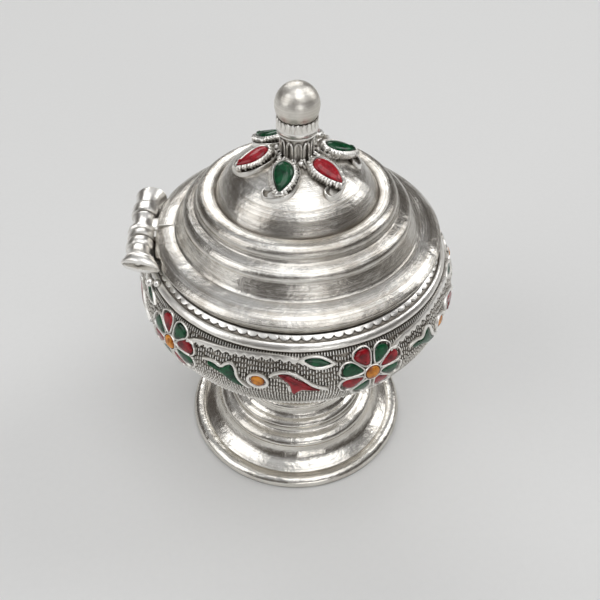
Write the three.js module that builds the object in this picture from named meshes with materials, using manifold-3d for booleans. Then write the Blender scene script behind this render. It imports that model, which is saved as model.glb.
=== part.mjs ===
// A small silver box for kumkum powder: a swollen bowl on a turned foot, under a domed lid with a ball finial.
// The lid turns on a three-knuckle hinge at the back. Flowers, leaves and paisleys of enamel ornament it.
// Millimetres, +Z up. The box stands on z = 0 and is turned about Z; the hinge is on the -X side.

import * as THREE from "three";
import { mergeVertices } from "three/addons/utils/BufferGeometryUtils.js";
import Module from "manifold-3d";

const wasm = await Module();
wasm.setup();

// Sheet, seams and running clearances
const wall = 0.9; // spun silver sheet
const gap = 0.3; // left between pieces that are soldered or seated together
const swingGap = 0.4; // round the lid's bezel, so that it swings clear of the mouth
const pinGap = 0.15; // round the hinge pin
const overrun = 2; // how far a cutting solid runs past what it cuts

// Lid
const lidRadius = 23;
const lidHeight = 13.8;
const flangeWidth = 3.4;
const bezelWall = 0.8;
const bezelDepth = 2.2;

// Bowl
const rimOverhang = 0.9; // how far the lid's flange stands past the mouth ring
const mouthRingThickness = 1.3;
const bellySwell = 3.4; // how far the belly stands out past the mouth ring
const shoulderRise = 6.4; // from the belly up to the mouth ring
const bellyRise = 19.4; // from the foot up to the belly
const bandRingWidth = 1.1;
const bandRingHeight = 0.45;

// Foot
const footRadius = 20.9;
const footHeight = 17;
const footRingWidth = 2.5;
const footRingHeight = 1.9;
const footTopRadius = 9.5;

// Finial
const neckRadius = 2.6;
const neckHeight = 3.4;
const collarRadius = 3.1;
const collarHeight = 1.3;
const ballRadius = 3.25;
const ballSeatRadius = 2.15;

// Hinge
const knuckleRadius = 2;
const knuckleBead = 0.2; // how far the rolled ends stand out past a knuckle
const knuckleFlare = 1; // how far the open trumpet ends stand out
const middleKnuckleLength = 6;
const outerKnuckleLength = 6;
const trumpetWall = 0.35;
const trumpetDepth = 2;
const pinRadius = 0.6;
const pinHeadRadius = 0.9;
const pinHeadLength = 0.5;
const hingeShelfThickness = 1.6;
const hingeTabWidth = 5;
const hingeTabThickness = 0.9;
const hingeTabReach = 1.2; // into the lid's flange

// Raised enamel on the band round the belly
const bandRepeats = 5;
const flowerAzimuth = -69; // degrees from +X
const flowerRise = 0.5; // of the flowers over the belly's widest line
const flowerReach = 4.3;
const flowerHeight = 0.6;
const flowerSeatDepth = 0.3;
const flowerCentreRadius = 1.1;
const flowerCentreHeight = 0.6;
const petals = 8;
const leafHeight = 0.6;
const almondLength = 4;
const almondWidth = 1.5;
const almondTilt = -10; // degrees
const lobedLeafLength = 6;
const berryRadius = 1.15;
const berryHeight = 0.8;

// Paisleys round the finial
const paisleyCount = 6;
const paisleyAzimuth = -111; // degrees from +X
const paisleyFromNeck = 0.3;
const paisleyFromDomeEdge = 3;
const paisleyThickness = 0.9;
const stoneHeight = 0.9;
const stoneSeatDepth = 0.5;

// Counts
const roundSteps = 40;
const finialSteps = 20;
const ballRings = 10;
const knuckleSteps = 16;
const petalSteps = 4;
const buttonSteps = 12; // round a berry or a flower's centre
const bowlSteps = 13;

// The lid's outside, from the edge of its flange to its crown: shares of its radius and its height.
const domeEdgeShare = 0.546;
const lidShares = [
  [1, 0],
  [0.996, 0.032],
  [0.922, 0.1],
  [0.843, 0.125],
  [0.813, 0.203],
  [0.787, 0.275],
  [0.778, 0.312],
  [0.757, 0.377],
  [0.713, 0.417],
  [0.678, 0.464],
  [0.675, 0.507],
  [0.662, 0.54],
  [0.622, 0.569],
  [0.57, 0.562],
  [domeEdgeShare, 0.545],
  [0.513, 0.638],
  [0.435, 0.779],
  [0.348, 0.877],
  [0.283, 0.924],
  [0.217, 0.957],
  [0.13, 0.986],
  [0, 1],
];
// The plain form under the lid's mouldings, which its inside follows.
const lidCoreShares = [
  [0.826, 0.159],
  [0.778, 0.304],
  [0.67, 0.478],
  [0.539, 0.54],
  [0.513, 0.638],
  [0.435, 0.779],
  [0.283, 0.924],
  [0.13, 0.986],
  [0, 1],
];
// The bowl's outside from the foot to the belly, then from the belly to the mouth: shares of the way out and up.
const lowerBowlShares = [
  [0, 0],
  [0.25, 0.05],
  [0.442, 0.149],
  [0.693, 0.433],
  [0.81, 0.572],
  [0.92, 0.716],
  [0.988, 0.861],
];
const upperBowlShares = [
  [1, 0],
  [0.78, 0.42],
  [0.42, 0.82],
  [0, 1],
];
// The foot's outside from its edge to its top: shares of the way out from the top's radius, and of the height.
const footShares = [
  [1, 0],
  [1, 0.085],
  [0.92, 0.12],
  [0.79, 0.165],
  [0.67, 0.235],
  [0.63, 0.3],
  [0.56, 0.36],
  [0.42, 0.4],
  [0.37, 0.46],
  [0.25, 0.54],
  [0.16, 0.6],
  [0.02, 0.72],
  [-0.08, 0.83],
  [-0.04, 0.94],
  [0, 1],
];
// The plain form under the foot's mouldings.
const footCoreShares = [
  [1, 0],
  [1, 0.04],
  [0.78, 0.14],
  [0.58, 0.25],
  [0.36, 0.4],
  [0.14, 0.57],
  [-0.08, 0.78],
  [-0.1, 1],
];
// The moulding of the foot ring: shares of its width and its height.
const footRingShares = [
  [0, 0],
  [1, 0],
  [1, 0.42],
  [0.76, 0.9],
  [0.36, 1],
  [0, 0.68],
];
// A band ring's section: shares of half its width, and of its height.
const bandRingShares = [
  [-1, 0],
  [1, 0],
  [0.75, 1],
  [-0.75, 1],
];
const lowerRingShare = 0.65; // where the lower band ring lies, of the way from the foot up to the belly
const upperRingShare = 0.84; // where the upper band ring lies, of the way from the belly up to the mouth
// An outer knuckle's outside from its inner end: shares of its length, of the rolled bead and of the flare.
const outerKnuckleShares = [
  [0, 0, 0],
  [0.08, 1, 0],
  [0.18, 0, 0],
  [0.6, 0, 0.1],
  [0.82, 0, 0.5],
  [0.94, 0, 1],
  [1, 0, 1],
];
// The middle knuckle's outside: shares of its length and of the rolled bead.
const middleKnuckleShares = [
  [-0.5, 0],
  [-0.42, 1],
  [-0.32, 0],
  [0.32, 0],
  [0.42, 1],
  [0.5, 0],
];
// The finial's neck and collar: shares of the radius and the height.
const neckShares = [
  [1, 0],
  [0.94, 0.15],
  [0.94, 0.85],
  [1, 1],
];
const collarShares = [
  [0.9, 0],
  [1, 0.3],
  [1, 0.7],
  [0.88, 1],
];
// Outlines seen from outside, with their middle at 0, as shares of their length.
const greenLeafShares = [
  [-0.56, 0.185],
  [-0.47, 0.135],
  [-0.33, 0.06],
  [-0.14, -0.05],
  [0.04, -0.19],
  [0.24, -0.275],
  [0.45, -0.225],
  [0.25, -0.075],
  [0.18, 0.065],
  [0.12, 0.23],
  [0.04, 0.295],
  [-0.11, 0.21],
  [-0.22, 0.11],
  [-0.36, 0.155],
];
const redLeafShares = [
  [-0.44, 0.3],
  [-0.31, 0.16],
  [-0.195, 0.07],
  [-0.15, -0.03],
  [-0.125, -0.155],
  [-0.1, -0.28],
  [-0.055, -0.335],
  [0.015, -0.255],
  [0.085, -0.155],
  [0.22, -0.16],
  [0.56, -0.22],
  [0.39, -0.04],
  [0.2, 0.09],
  [0.01, 0.185],
  [-0.15, 0.285],
  [-0.29, 0.31],
];
const paisleyShares = [
  [0, 0.46],
  [-0.15, 0.42],
  [-0.25, 0.29],
  [-0.23, 0.1],
  [-0.15, -0.09],
  [-0.08, -0.21],
  [-0.18, -0.26],
  [-0.3, -0.29],
  [-0.34, -0.39],
  [-0.26, -0.485],
  [-0.1, -0.5],
  [0.12, -0.42],
  [0.26, -0.28],
  [0.315, -0.06],
  [0.29, 0.18],
  [0.17, 0.39],
];
const stoneShares = [
  [0, 0.375],
  [-0.08, 0.365],
  [-0.15, 0.295],
  [-0.165, 0.135],
  [-0.1, -0.04],
  [-0.015, -0.2],
  [0.08, -0.31],
  [0.15, -0.18],
  [0.2, -0.01],
  [0.19, 0.17],
  [0.125, 0.31],
];
// Where each motif lies in a repeat: a share of the way round from one flower to the next, and its rise
// over the belly's widest line as a share of the lobed leaves' length.
const greenLeafPlaceShare = [0.346, -0.005];
const berryPlaceShare = [0.486, 0.03];
const redLeafPlaceShare = [0.658, -0.03];
const almondPlaceShare = [0.757, 0.57];
// A raised motif's rings, from the middle of its back to the middle of its face: shares of outline and height.
const domedShares = [
  [1, 0],
  [1, 0.5],
  [0.9, 0.9],
  [0.5, 1],
];
const petalNotchShare = 0.72; // the flower's radius between two petals
const frontTurn = 90; // degrees from the front, where a motif is modelled, round to +X

// Derived sizes
const crownRadius = lidRadius - flangeWidth;
const cavityRadius = crownRadius - 2 * wall;
const bezelRadius = cavityRadius + bezelWall;
const mouthRadius = bezelRadius + swingGap;
const mouthRingRadius = lidRadius - rimOverhang;
const bellyRadius = mouthRingRadius + bellySwell;
const bowlBase = footHeight + gap;
const bellyHeight = bowlBase + bellyRise;
const shoulderHeight = bellyHeight + shoulderRise;
const mouthRingBase = shoulderHeight + gap;
const mouthRingTop = mouthRingBase + mouthRingThickness;
const partingHeight = mouthRingTop + gap;
const crownHeight = partingHeight + lidHeight;
const hingeRadius = mouthRingRadius + gap + knuckleRadius + knuckleBead;
const outerKnuckleStart = middleKnuckleLength / 2 + gap;
const hingeHalfLength = outerKnuckleStart + outerKnuckleLength;

const silver = { color: 0xc9c4bb, metalness: 1, roughness: 0.28 };
const paleSilver = { color: 0xdad6ce, metalness: 1, roughness: 0.35 };
const redEnamel = { color: 0x8f0d14, metalness: 0, roughness: 0.12 };
const greenEnamel = { color: 0x0b4a26, metalness: 0, roughness: 0.12 };
const orangeEnamel = { color: 0xc8741c, metalness: 0, roughness: 0.18 };

const box = new THREE.Group();

// Adds a named piece to the box, turned about Z by some degrees.
function add(name, geometry, finish, turn = 0) {
  const mesh = new THREE.Mesh(geometry, new THREE.MeshStandardMaterial(finish));
  mesh.name = name;
  mesh.rotation.z = THREE.MathUtils.degToRad(turn);
  box.add(mesh);
}

function manifold(geometry) {
  const bare = geometry.clone();
  bare.deleteAttribute("normal");
  bare.deleteAttribute("uv");
  const merged = mergeVertices(bare);
  return new wasm.Manifold(
    new wasm.Mesh({
      numProp: 3,
      vertProperties: merged.attributes.position.array,
      triVerts: new Uint32Array(merged.index.array),
    }),
  );
}

function geometryOf(solid) {
  const mesh = solid.getMesh();
  const geometry = new THREE.BufferGeometry();
  geometry.setAttribute("position", new THREE.BufferAttribute(mesh.vertProperties, 3));
  geometry.setIndex(new THREE.BufferAttribute(mesh.triVerts, 1));
  geometry.computeVertexNormals();
  return geometry;
}

function subtract(geometry, ...cuts) {
  return geometryOf(cuts.reduce((solid, cut) => solid.subtract(manifold(cut)), manifold(geometry)));
}

function join(...geometries) {
  return geometryOf(geometries.map(manifold).reduce((solid, other) => solid.add(other)));
}

// A solid turned about Y from its outline in [radius, height], whichever way round the outline runs.
function turnedAboutY(outline, steps) {
  const points = outline.map(([radius, height]) => new THREE.Vector2(radius, height));
  if (THREE.ShapeUtils.isClockWise(points)) points.reverse();
  return new THREE.LatheGeometry(points, steps);
}

function turned(outline, steps = roundSteps) {
  return turnedAboutY(outline, steps).rotateX(Math.PI / 2);
}

function closed(outline) {
  return [...outline, outline[0]];
}

// An outline moved to its left by some depth, or to its right by a negative one. A point on the axis stays there.
function offset(outline, depth) {
  return outline.map(([radius, height], i) => {
    if (radius === 0) return [0, height - depth];
    const [fromRadius, fromHeight] = outline[Math.max(i - 1, 0)];
    const [toRadius, toHeight] = outline[Math.min(i + 1, outline.length - 1)];
    const along = new THREE.Vector2(toRadius - fromRadius, toHeight - fromHeight).normalize();
    return [radius - along.y * depth, height + along.x * depth];
  });
}

// The height of an outline that runs inwards, at a radius.
function heightAt(outline, radius) {
  const i = outline.findIndex(([r], k) => k > 0 && r <= radius);
  const [outerRadius, outerHeight] = outline[i - 1];
  const [innerRadius, innerHeight] = outline[i];
  const share = (outerRadius - radius) / (outerRadius - innerRadius);
  return outerHeight + share * (innerHeight - outerHeight);
}

// A low solid raised on a surface. It runs through rings, each an outline and its height out of the surface,
// from the middle of its back round to the middle of its face. place turns a point and a height into 3D.
function relief(place, rings) {
  const count = rings[0].outline.length;
  const middle = new THREE.Vector2();
  const corners = [place(middle, rings[0].out)];
  rings.forEach(({ outline, out }) => outline.forEach((point) => corners.push(place(point, out))));
  corners.push(place(middle, rings[rings.length - 1].out));
  const last = corners.length - 1;
  const index = [];
  for (let i = 0; i < count; i += 1) {
    const next = (i + 1) % count;
    index.push(0, 1 + next, 1 + i);
    for (let under = 1; under + 2 * count <= last; under += count) {
      const over = under + count;
      index.push(under + i, under + next, over + i);
      index.push(under + next, over + next, over + i);
    }
    index.push(last - count + i, last - count + next, last);
  }
  const geometry = new THREE.BufferGeometry().setFromPoints(corners);
  geometry.setIndex(index);
  geometry.computeVertexNormals();
  return geometry;
}

function scaled(outline, share) {
  return outline.map((point) => point.clone().multiplyScalar(share));
}

function domed(place, outline, base, height) {
  const rings = domedShares.map(([share, rise]) => ({ outline: scaled(outline, share), out: base + rise * height }));
  return relief(place, rings);
}

function outlineOf(shares, length) {
  return shares.map(([x, y]) => new THREE.Vector2(x * length, y * length));
}

function circle(radius, count) {
  return Array.from({ length: count }, (_, i) => {
    const angle = (i / count) * 2 * Math.PI;
    return new THREE.Vector2(radius * Math.cos(angle), radius * Math.sin(angle));
  });
}

// Outlines of the turned pieces
const lidOutline = lidShares.map(([r, z]) => [r * lidRadius, partingHeight + z * lidHeight]);
const bowlCurve = new THREE.SplineCurve([
  ...lowerBowlShares.map(
    ([r, z]) => new THREE.Vector2(footTopRadius + r * (bellyRadius - footTopRadius), bowlBase + z * bellyRise),
  ),
  ...upperBowlShares.map(
    ([r, z]) => new THREE.Vector2(mouthRingRadius + r * bellySwell, bellyHeight + z * shoulderRise),
  ),
]);
const bowlOutline = bowlCurve.getPoints(bowlSteps).map(({ x, y }) => [x, y]);
const bowlTrace = bowlCurve.getSpacedPoints(bowlSteps ** 2);

// The point that lies some way along the bowl's outline from one of its heights, and some way out of it.
function fromBowl(height, along, out) {
  const start = bowlTrace.findIndex((point) => point.y >= height) / (bowlTrace.length - 1);
  const share = THREE.MathUtils.clamp(start + along / bowlCurve.getLength(), 0, 1);
  const point = bowlCurve.getPointAt(share);
  const tangent = bowlCurve.getTangentAt(share);
  return [point.x + tangent.y * out, point.y - tangent.x * out];
}

// Wraps a flat motif round the front of the bowl, with its middle at a height.
function onBowl(height) {
  const [middleRadius] = fromBowl(height, 0, 0);
  return ({ x, y }, out) => {
    const [radius, z] = fromBowl(height, y, out);
    const angle = x / middleRadius;
    return new THREE.Vector3(radius * Math.sin(angle), -radius * Math.cos(angle), z);
  };
}

function addFoot() {
  const edgeRadius = footRadius - footRingWidth - gap;
  const toSize = ([r, z]) => [footTopRadius + r * (edgeRadius - footTopRadius), z * footHeight];
  const roof = footHeight - wall;
  const inside = offset(footCoreShares.map(toSize), wall).map(([r, z]) => [r, Math.min(z, roof)]);
  const outline = [[0, roof], ...inside.reverse(), ...footShares.map(toSize), [0, footHeight]];
  add("foot", turned(outline), silver);

  const ring = footRingShares.map(([r, z]) => [footRadius - (1 - r) * footRingWidth, z * footRingHeight]);
  add("foot_ring", turned(closed(ring)), silver);
}

function addBowl() {
  const inside = offset(bowlOutline, wall).slice(0, -1);
  const lip = [mouthRingRadius - wall, shoulderHeight];
  const outline = [[0, bowlBase], ...bowlOutline, lip, ...inside.reverse(), [0, bowlBase + wall]];
  add("bowl_shell", turned(outline), silver);

  const ring = [
    [mouthRadius, mouthRingBase],
    [mouthRingRadius, mouthRingBase],
    [mouthRingRadius, mouthRingTop],
    [mouthRadius, mouthRingTop],
  ];
  add("mouth_ring", turned(closed(ring)), silver);
}

// A band ring, or the room for one with some clearance all round it.
function bandRing(height, clearance = 0) {
  const halfWidth = bandRingWidth / 2 + clearance;
  const lift = bandRingHeight + 2 * clearance;
  const section = bandRingShares.map(([along, out]) =>
    fromBowl(height, along * halfWidth, gap - clearance + out * lift),
  );
  return turned(closed(section));
}

const upperRingHeight = bellyHeight + upperRingShare * shoulderRise;
const lowerRingHeight = bowlBase + lowerRingShare * bellyRise;

// The rosette's outline: rounded petals, narrow between one and the next.
function flowerOutline() {
  return circle(1, petals * petalSteps).map((point, i) => {
    const bulge = Math.abs(Math.cos((i / petalSteps) * Math.PI));
    const share = petalNotchShare + (1 - petalNotchShare) * Math.sqrt(bulge);
    return point.multiplyScalar(share * flowerReach);
  });
}

function flower(place) {
  const outline = flowerOutline();
  const seat = circle(flowerCentreRadius + gap, outline.length);
  const face = gap + flowerHeight;
  const rings = domedShares.slice(0, -1).map(([share, rise]) => ({
    outline: scaled(outline, share),
    out: gap + rise * flowerHeight,
  }));
  return relief(place, [
    ...rings,
    { outline: seat, out: face },
    { outline: seat, out: face - flowerSeatDepth },
  ]);
}

function almondOutline() {
  const half = 6;
  const middle = new THREE.Vector2();
  return Array.from({ length: 2 * half }, (_, i) => {
    const side = i < half ? 1 : -1;
    const across = side * (1 - (2 * (i % half)) / half);
    const point = new THREE.Vector2((across * almondLength) / 2, (side * (1 - across ** 2) * almondWidth) / 2);
    return point.rotateAround(middle, THREE.MathUtils.degToRad(almondTilt));
  });
}

// One repeat of the band is a flower and, on the way round to the next, lobed leaves, a berry and an almond leaf.
function addBand() {
  const flowerPlace = onBowl(bellyHeight + flowerRise);
  const placeOf = ([, riseShare]) => onBowl(bellyHeight + riseShare * lobedLeafLength);
  const centreBase = gap + flowerHeight - flowerSeatDepth + gap;
  const centre = domed(flowerPlace, circle(flowerCentreRadius, buttonSteps), centreBase, flowerCentreHeight);
  const greenLeaf = domed(
    placeOf(greenLeafPlaceShare),
    outlineOf(greenLeafShares, lobedLeafLength),
    gap,
    leafHeight,
  );
  const redLeaf = domed(placeOf(redLeafPlaceShare), outlineOf(redLeafShares, lobedLeafLength), gap, leafHeight);
  const berry = domed(placeOf(berryPlaceShare), circle(berryRadius, buttonSteps), gap, berryHeight);
  const almond = domed(placeOf(almondPlaceShare), almondOutline(), gap, leafHeight);
  for (let repeat = 0; repeat < bandRepeats; repeat += 1) {
    const addMotif = (name, [aroundShare], geometry, finish) => {
      const azimuth = flowerAzimuth + ((repeat + aroundShare) * 360) / bandRepeats;
      add(`${name}_${repeat + 1}`, geometry, finish, azimuth + frontTurn);
    };
    addMotif("flower", [0], flower(flowerPlace), paleSilver);
    addMotif("flower_centre", [0], centre, orangeEnamel);
    addMotif("green_leaf", greenLeafPlaceShare, greenLeaf, greenEnamel);
    addMotif("berry", berryPlaceShare, berry, orangeEnamel);
    addMotif("red_leaf", redLeafPlaceShare, redLeaf, redEnamel);
    addMotif("almond_leaf", almondPlaceShare, almond, greenEnamel);
  }
}

// A round rod or bore along the hinge axis, between two places along it.
function hingeRod(radius, from, to) {
  return alongHinge([
    [0, from],
    [radius, from],
    [radius, to],
    [0, to],
  ]);
}

function alongHinge(outline) {
  return turnedAboutY(outline, knuckleSteps).translate(-hingeRadius, 0, partingHeight);
}

function outerKnuckle(side) {
  const outside = outerKnuckleShares.map(([length, bead, flare]) => [
    knuckleRadius + bead * knuckleBead + flare * knuckleFlare,
    outerKnuckleStart + length * outerKnuckleLength,
  ]);
  const seat = hingeHalfLength - trumpetDepth;
  const mouth = [knuckleRadius + knuckleFlare - trumpetWall, hingeHalfLength];
  const outline = [[0, outerKnuckleStart], ...outside, mouth, [pinHeadRadius + gap, seat], [0, seat]];
  return alongHinge(outline.map(([radius, along]) => [radius, side * along]));
}

// The shelf between the bowl's shoulder and the outer knuckles, under the lid's flange.
function hingeShelf() {
  const top = mouthRingTop - gap;
  const inner = Math.sqrt(mouthRingRadius ** 2 - hingeHalfLength ** 2);
  const length = 2 * (hingeHalfLength - trumpetDepth);
  const shelf = new THREE.BoxGeometry(hingeRadius - inner, length, hingeShelfThickness);
  return shelf.translate(-(hingeRadius + inner) / 2, 0, top - hingeShelfThickness / 2);
}

function addHinge() {
  const bore = hingeRod(pinRadius + pinGap, -hingeHalfLength, hingeHalfLength);
  const bowlRoom = turned([
    [0, bowlBase],
    ...offset(bowlOutline, -gap),
    [mouthRingRadius + gap, shoulderHeight],
    [mouthRingRadius + gap, partingHeight],
    [0, partingHeight],
  ]);
  const knuckleRoom = hingeRod(knuckleRadius + knuckleBead + gap, -outerKnuckleStart, outerKnuckleStart);
  const bowlLeaf = join(hingeShelf(), outerKnuckle(-1), outerKnuckle(1));
  const ringRoom = bandRing(upperRingHeight, gap);
  add("hinge_leaf_bowl", subtract(bowlLeaf, bore, bowlRoom, knuckleRoom, ringRoom), silver);

  const outside = middleKnuckleShares.map(([length, bead]) => [
    knuckleRadius + bead * knuckleBead,
    length * middleKnuckleLength,
  ]);
  const halfLength = middleKnuckleLength / 2;
  const knuckle = alongHinge([[0, -halfLength], ...outside, [0, halfLength]]);
  const tabEnd = lidRadius - hingeTabReach;
  const tab = new THREE.BoxGeometry(hingeRadius - tabEnd, hingeTabWidth, hingeTabThickness);
  tab.translate(-(hingeRadius + tabEnd) / 2, 0, partingHeight + hingeTabThickness / 2);
  add("hinge_leaf_lid", subtract(join(knuckle, tab), bore), silver);

  const headStart = hingeHalfLength - trumpetDepth + gap;
  const headEnd = headStart + pinHeadLength;
  const pin = alongHinge([
    [0, -headEnd],
    [pinHeadRadius, -headEnd],
    [pinHeadRadius, -headStart],
    [pinRadius, -headStart],
    [pinRadius, headStart],
    [pinHeadRadius, headStart],
    [pinHeadRadius, headEnd],
    [0, headEnd],
  ]);
  add("hinge_pin", pin, silver);
}

// The room that the knuckles need in the lid's flange at every angle, with the seam gap round them.
function hingeRoom() {
  const ends = outerKnuckleShares.map(([length, , flare]) => [
    knuckleRadius + Math.max(knuckleBead, flare * knuckleFlare) + gap,
    outerKnuckleStart + length * outerKnuckleLength,
  ]);
  const otherEnds = ends.map(([radius, along]) => [radius, -along]).reverse();
  return alongHinge([[0, -hingeHalfLength], ...otherEnds, ...ends, [0, hingeHalfLength]]);
}

// The notch in the flange that the lid's hinge tab is soldered into.
function tabNotch() {
  const tabEnd = lidRadius - hingeTabReach - gap;
  const outerEnd = lidRadius + overrun;
  const notch = new THREE.BoxGeometry(outerEnd - tabEnd, hingeTabWidth + 2 * gap, 2 * overrun);
  return notch.translate(-(outerEnd + tabEnd) / 2, 0, partingHeight);
}

function addLid() {
  const core = lidCoreShares.map(([r, z]) => [r * lidRadius, partingHeight + z * lidHeight]);
  const inside = offset(core, wall).map(([r, z]) => [Math.min(r, cavityRadius), z]);
  const shell = turned([...inside.reverse(), [cavityRadius, partingHeight], ...lidOutline]);
  add("lid_shell", subtract(shell, hingeRoom(), tabNotch()), silver);

  const top = partingHeight - gap;
  const bezel = [
    [cavityRadius, top - bezelDepth],
    [bezelRadius, top - bezelDepth],
    [bezelRadius, top],
    [cavityRadius, top],
  ];
  add("lid_bezel", turned(closed(bezel)), silver);
}

// The room that the lid takes up, with the seam gap over its outside.
function lidRoom() {
  return turned([[0, partingHeight], ...offset(lidOutline, -gap)]);
}

function addFinial() {
  const neckTop = crownHeight + neckHeight;
  const neckBase = crownHeight - overrun;
  const neckSide = neckShares.map(([r, z]) => [r * neckRadius, crownHeight + z * neckHeight]);
  const neck = turned([[0, neckBase], [neckRadius, neckBase], ...neckSide, [0, neckTop]], finialSteps);
  add("finial_neck", subtract(neck, lidRoom()), silver);

  const collarBase = neckTop + gap;
  const collarTop = collarBase + collarHeight;
  const ballHeight = collarTop + gap + Math.sqrt(ballRadius ** 2 - ballSeatRadius ** 2);
  const collarSide = collarShares.map(([r, z]) => [r * collarRadius, collarBase + z * collarHeight]);
  const collar = turned([[0, collarBase], ...collarSide, [0, collarTop]], finialSteps);
  const ball = (radius) =>
    new THREE.SphereGeometry(radius, finialSteps, ballRings).rotateX(Math.PI / 2).translate(0, 0, ballHeight);
  add("finial_collar", subtract(collar, ball(ballRadius + gap)), silver);
  add("finial_ball", ball(ballRadius), paleSilver);
}

// An outline with some clearance added on each side of its width and its length.
function grown(outline, clearance) {
  const size = new THREE.Box2().setFromPoints(outline).getSize(new THREE.Vector2());
  const stretch = size.clone().addScalar(2 * clearance).divide(size);
  return outline.map((point) => point.clone().multiply(stretch));
}

function slab(outline, base, top) {
  const geometry = new THREE.ExtrudeGeometry(new THREE.Shape(outline), { depth: top - base, bevelEnabled: false });
  return geometry.translate(0, 0, base);
}

// The paisleys lie on the dome, heads towards the finial. Each is a mount cut to the dome, and a domed stone.
function addPaisleys() {
  const inner = neckRadius + paisleyFromNeck;
  const outer = domeEdgeShare * lidRadius - paisleyFromDomeEdge;
  const fall = heightAt(lidOutline, inner) - heightAt(lidOutline, outer);
  const slope = Math.atan2(fall, outer - inner);
  const length = Math.hypot(fall, outer - inner);
  const middleRadius = (inner + outer) / 2;
  const middleHeight = (heightAt(lidOutline, inner) + heightAt(lidOutline, outer)) / 2;
  const bulge = (heightAt(lidOutline, middleRadius) - middleHeight) * Math.cos(slope);
  const face = bulge + gap + paisleyThickness;
  const seat = face - stoneSeatDepth;
  const onDome = (geometry) => geometry.rotateX(slope).translate(0, -middleRadius, middleHeight);

  const stoneOutline = outlineOf(stoneShares, length);
  const plate = onDome(slab(outlineOf(paisleyShares, length), -overrun, face));
  const pocket = onDome(slab(grown(stoneOutline, gap), seat, face + overrun));
  const mount = subtract(plate, lidRoom(), pocket);
  const flat = ({ x, y }, out) => new THREE.Vector3(x, y, out);
  const stone = onDome(domed(flat, stoneOutline, seat + gap, stoneHeight));
  for (let i = 0; i < paisleyCount; i += 1) {
    const turn = paisleyAzimuth + (i * 360) / paisleyCount + frontTurn;
    add(`paisley_mount_${i + 1}`, mount, silver, turn);
    add(`paisley_stone_${i + 1}`, stone, i % 2 === 0 ? greenEnamel : redEnamel, turn);
  }
}

addFoot();
addBowl();
add("band_ring_upper", bandRing(upperRingHeight), paleSilver);
add("band_ring_lower", bandRing(lowerRingHeight), paleSilver);
addBand();
addHinge();
addLid();
addFinial();
addPaisleys();

export default box;
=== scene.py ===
# %% [markdown]
# # A silver kumkum box with enamel flowers
# The box is a swollen bowl on a turned foot, with a domed lid that opens on a hinge and ends in a ball.
# A frame of plain solids is loaded first. It says where each piece is and which pieces move together.
# Every piece of it is then made again with its fine form, and takes the place of the plain solid.

# %% Load the frame
import math
import random

import bmesh
import bpy
from mathutils import Matrix, Vector


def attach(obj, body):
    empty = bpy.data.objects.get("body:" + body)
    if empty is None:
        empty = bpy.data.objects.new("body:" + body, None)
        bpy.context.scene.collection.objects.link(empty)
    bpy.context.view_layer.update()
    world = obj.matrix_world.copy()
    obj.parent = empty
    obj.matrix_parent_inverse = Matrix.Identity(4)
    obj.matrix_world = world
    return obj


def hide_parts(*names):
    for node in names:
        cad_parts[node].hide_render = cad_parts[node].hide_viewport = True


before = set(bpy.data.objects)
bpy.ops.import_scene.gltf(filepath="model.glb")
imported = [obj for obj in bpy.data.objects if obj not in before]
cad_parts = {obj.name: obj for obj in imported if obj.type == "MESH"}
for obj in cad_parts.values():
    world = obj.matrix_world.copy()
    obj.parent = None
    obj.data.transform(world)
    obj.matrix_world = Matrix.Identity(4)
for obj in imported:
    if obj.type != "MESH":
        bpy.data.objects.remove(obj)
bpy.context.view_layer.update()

# %% [markdown]
# ## The camera
# The photograph looks down at the box by about 44 degrees, from close by, so its perspective is strong.
# The hinge is on the left, and the box is turned a little, so the camera stands 4 degrees off the Y axis.

# %% Place the camera
MM = 0.001  # sizes are written in millimetres, and Blender works in metres

CAMERA_PLACE = (-5.5, -87.24, 113.6)
CAMERA_PITCH = 44.27  # degrees below the horizon
CAMERA_YAW = 4  # degrees from +Y towards +X
CAMERA_ROLL = 0.48
CAMERA_LENS = 41.06


def add_camera():
    pitch, yaw, roll = (math.radians(a) for a in (CAMERA_PITCH, CAMERA_YAW, CAMERA_ROLL))
    forward = Vector((math.sin(yaw) * math.cos(pitch), math.cos(yaw) * math.cos(pitch), -math.sin(pitch)))
    right = Vector((math.cos(yaw), -math.sin(yaw), 0))
    up = right.cross(forward)
    turned_right = right * math.cos(roll) + up * math.sin(roll)
    turned_up = up * math.cos(roll) - right * math.sin(roll)
    bpy.ops.object.camera_add()
    camera = bpy.context.object
    camera.name = "camera"
    camera.rotation_mode = "QUATERNION"
    camera.rotation_quaternion = Matrix((turned_right, turned_up, -forward)).transposed().to_quaternion()
    camera.location = Vector(CAMERA_PLACE) * MM
    camera.data.lens = CAMERA_LENS
    camera.data.clip_start = 0.005
    camera.data.clip_end = 20
    return camera


bpy.context.scene.camera = add_camera()
print("camera to box axis:", round(math.hypot(*CAMERA_PLACE[:2]), 1), "mm")

# %% [markdown]
# ## Shader nodes
# The floor, the silver and the enamel are built from a few kinds of shader node. Each helper below adds one
# node to a node tree. What it is given is a number, a colour or the output of another node.

# %% Helpers for shader nodes


def set_input(tree, socket, value):
    """Sets an input, or links it to another node's output."""
    if isinstance(value, bpy.types.NodeSocket):
        tree.links.new(value, socket)
    else:
        socket.default_value = value


def set_inputs(tree, node, values):
    """Fills the inputs that the values are named for, with _ for a space."""
    for name, value in values.items():
        set_input(tree, node.inputs[name.replace("_", " ")], value)


def add_node(tree, kind, **values):
    node = tree.nodes.new("ShaderNode" + kind)
    set_inputs(tree, node, values)
    return node


def math_node(tree, operation, *values, clamp=False):
    node = add_node(tree, "Math")
    node.operation = operation
    node.use_clamp = clamp
    for socket, value in zip(node.inputs, values):
        set_input(tree, socket, value)
    return node.outputs[0]


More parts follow.
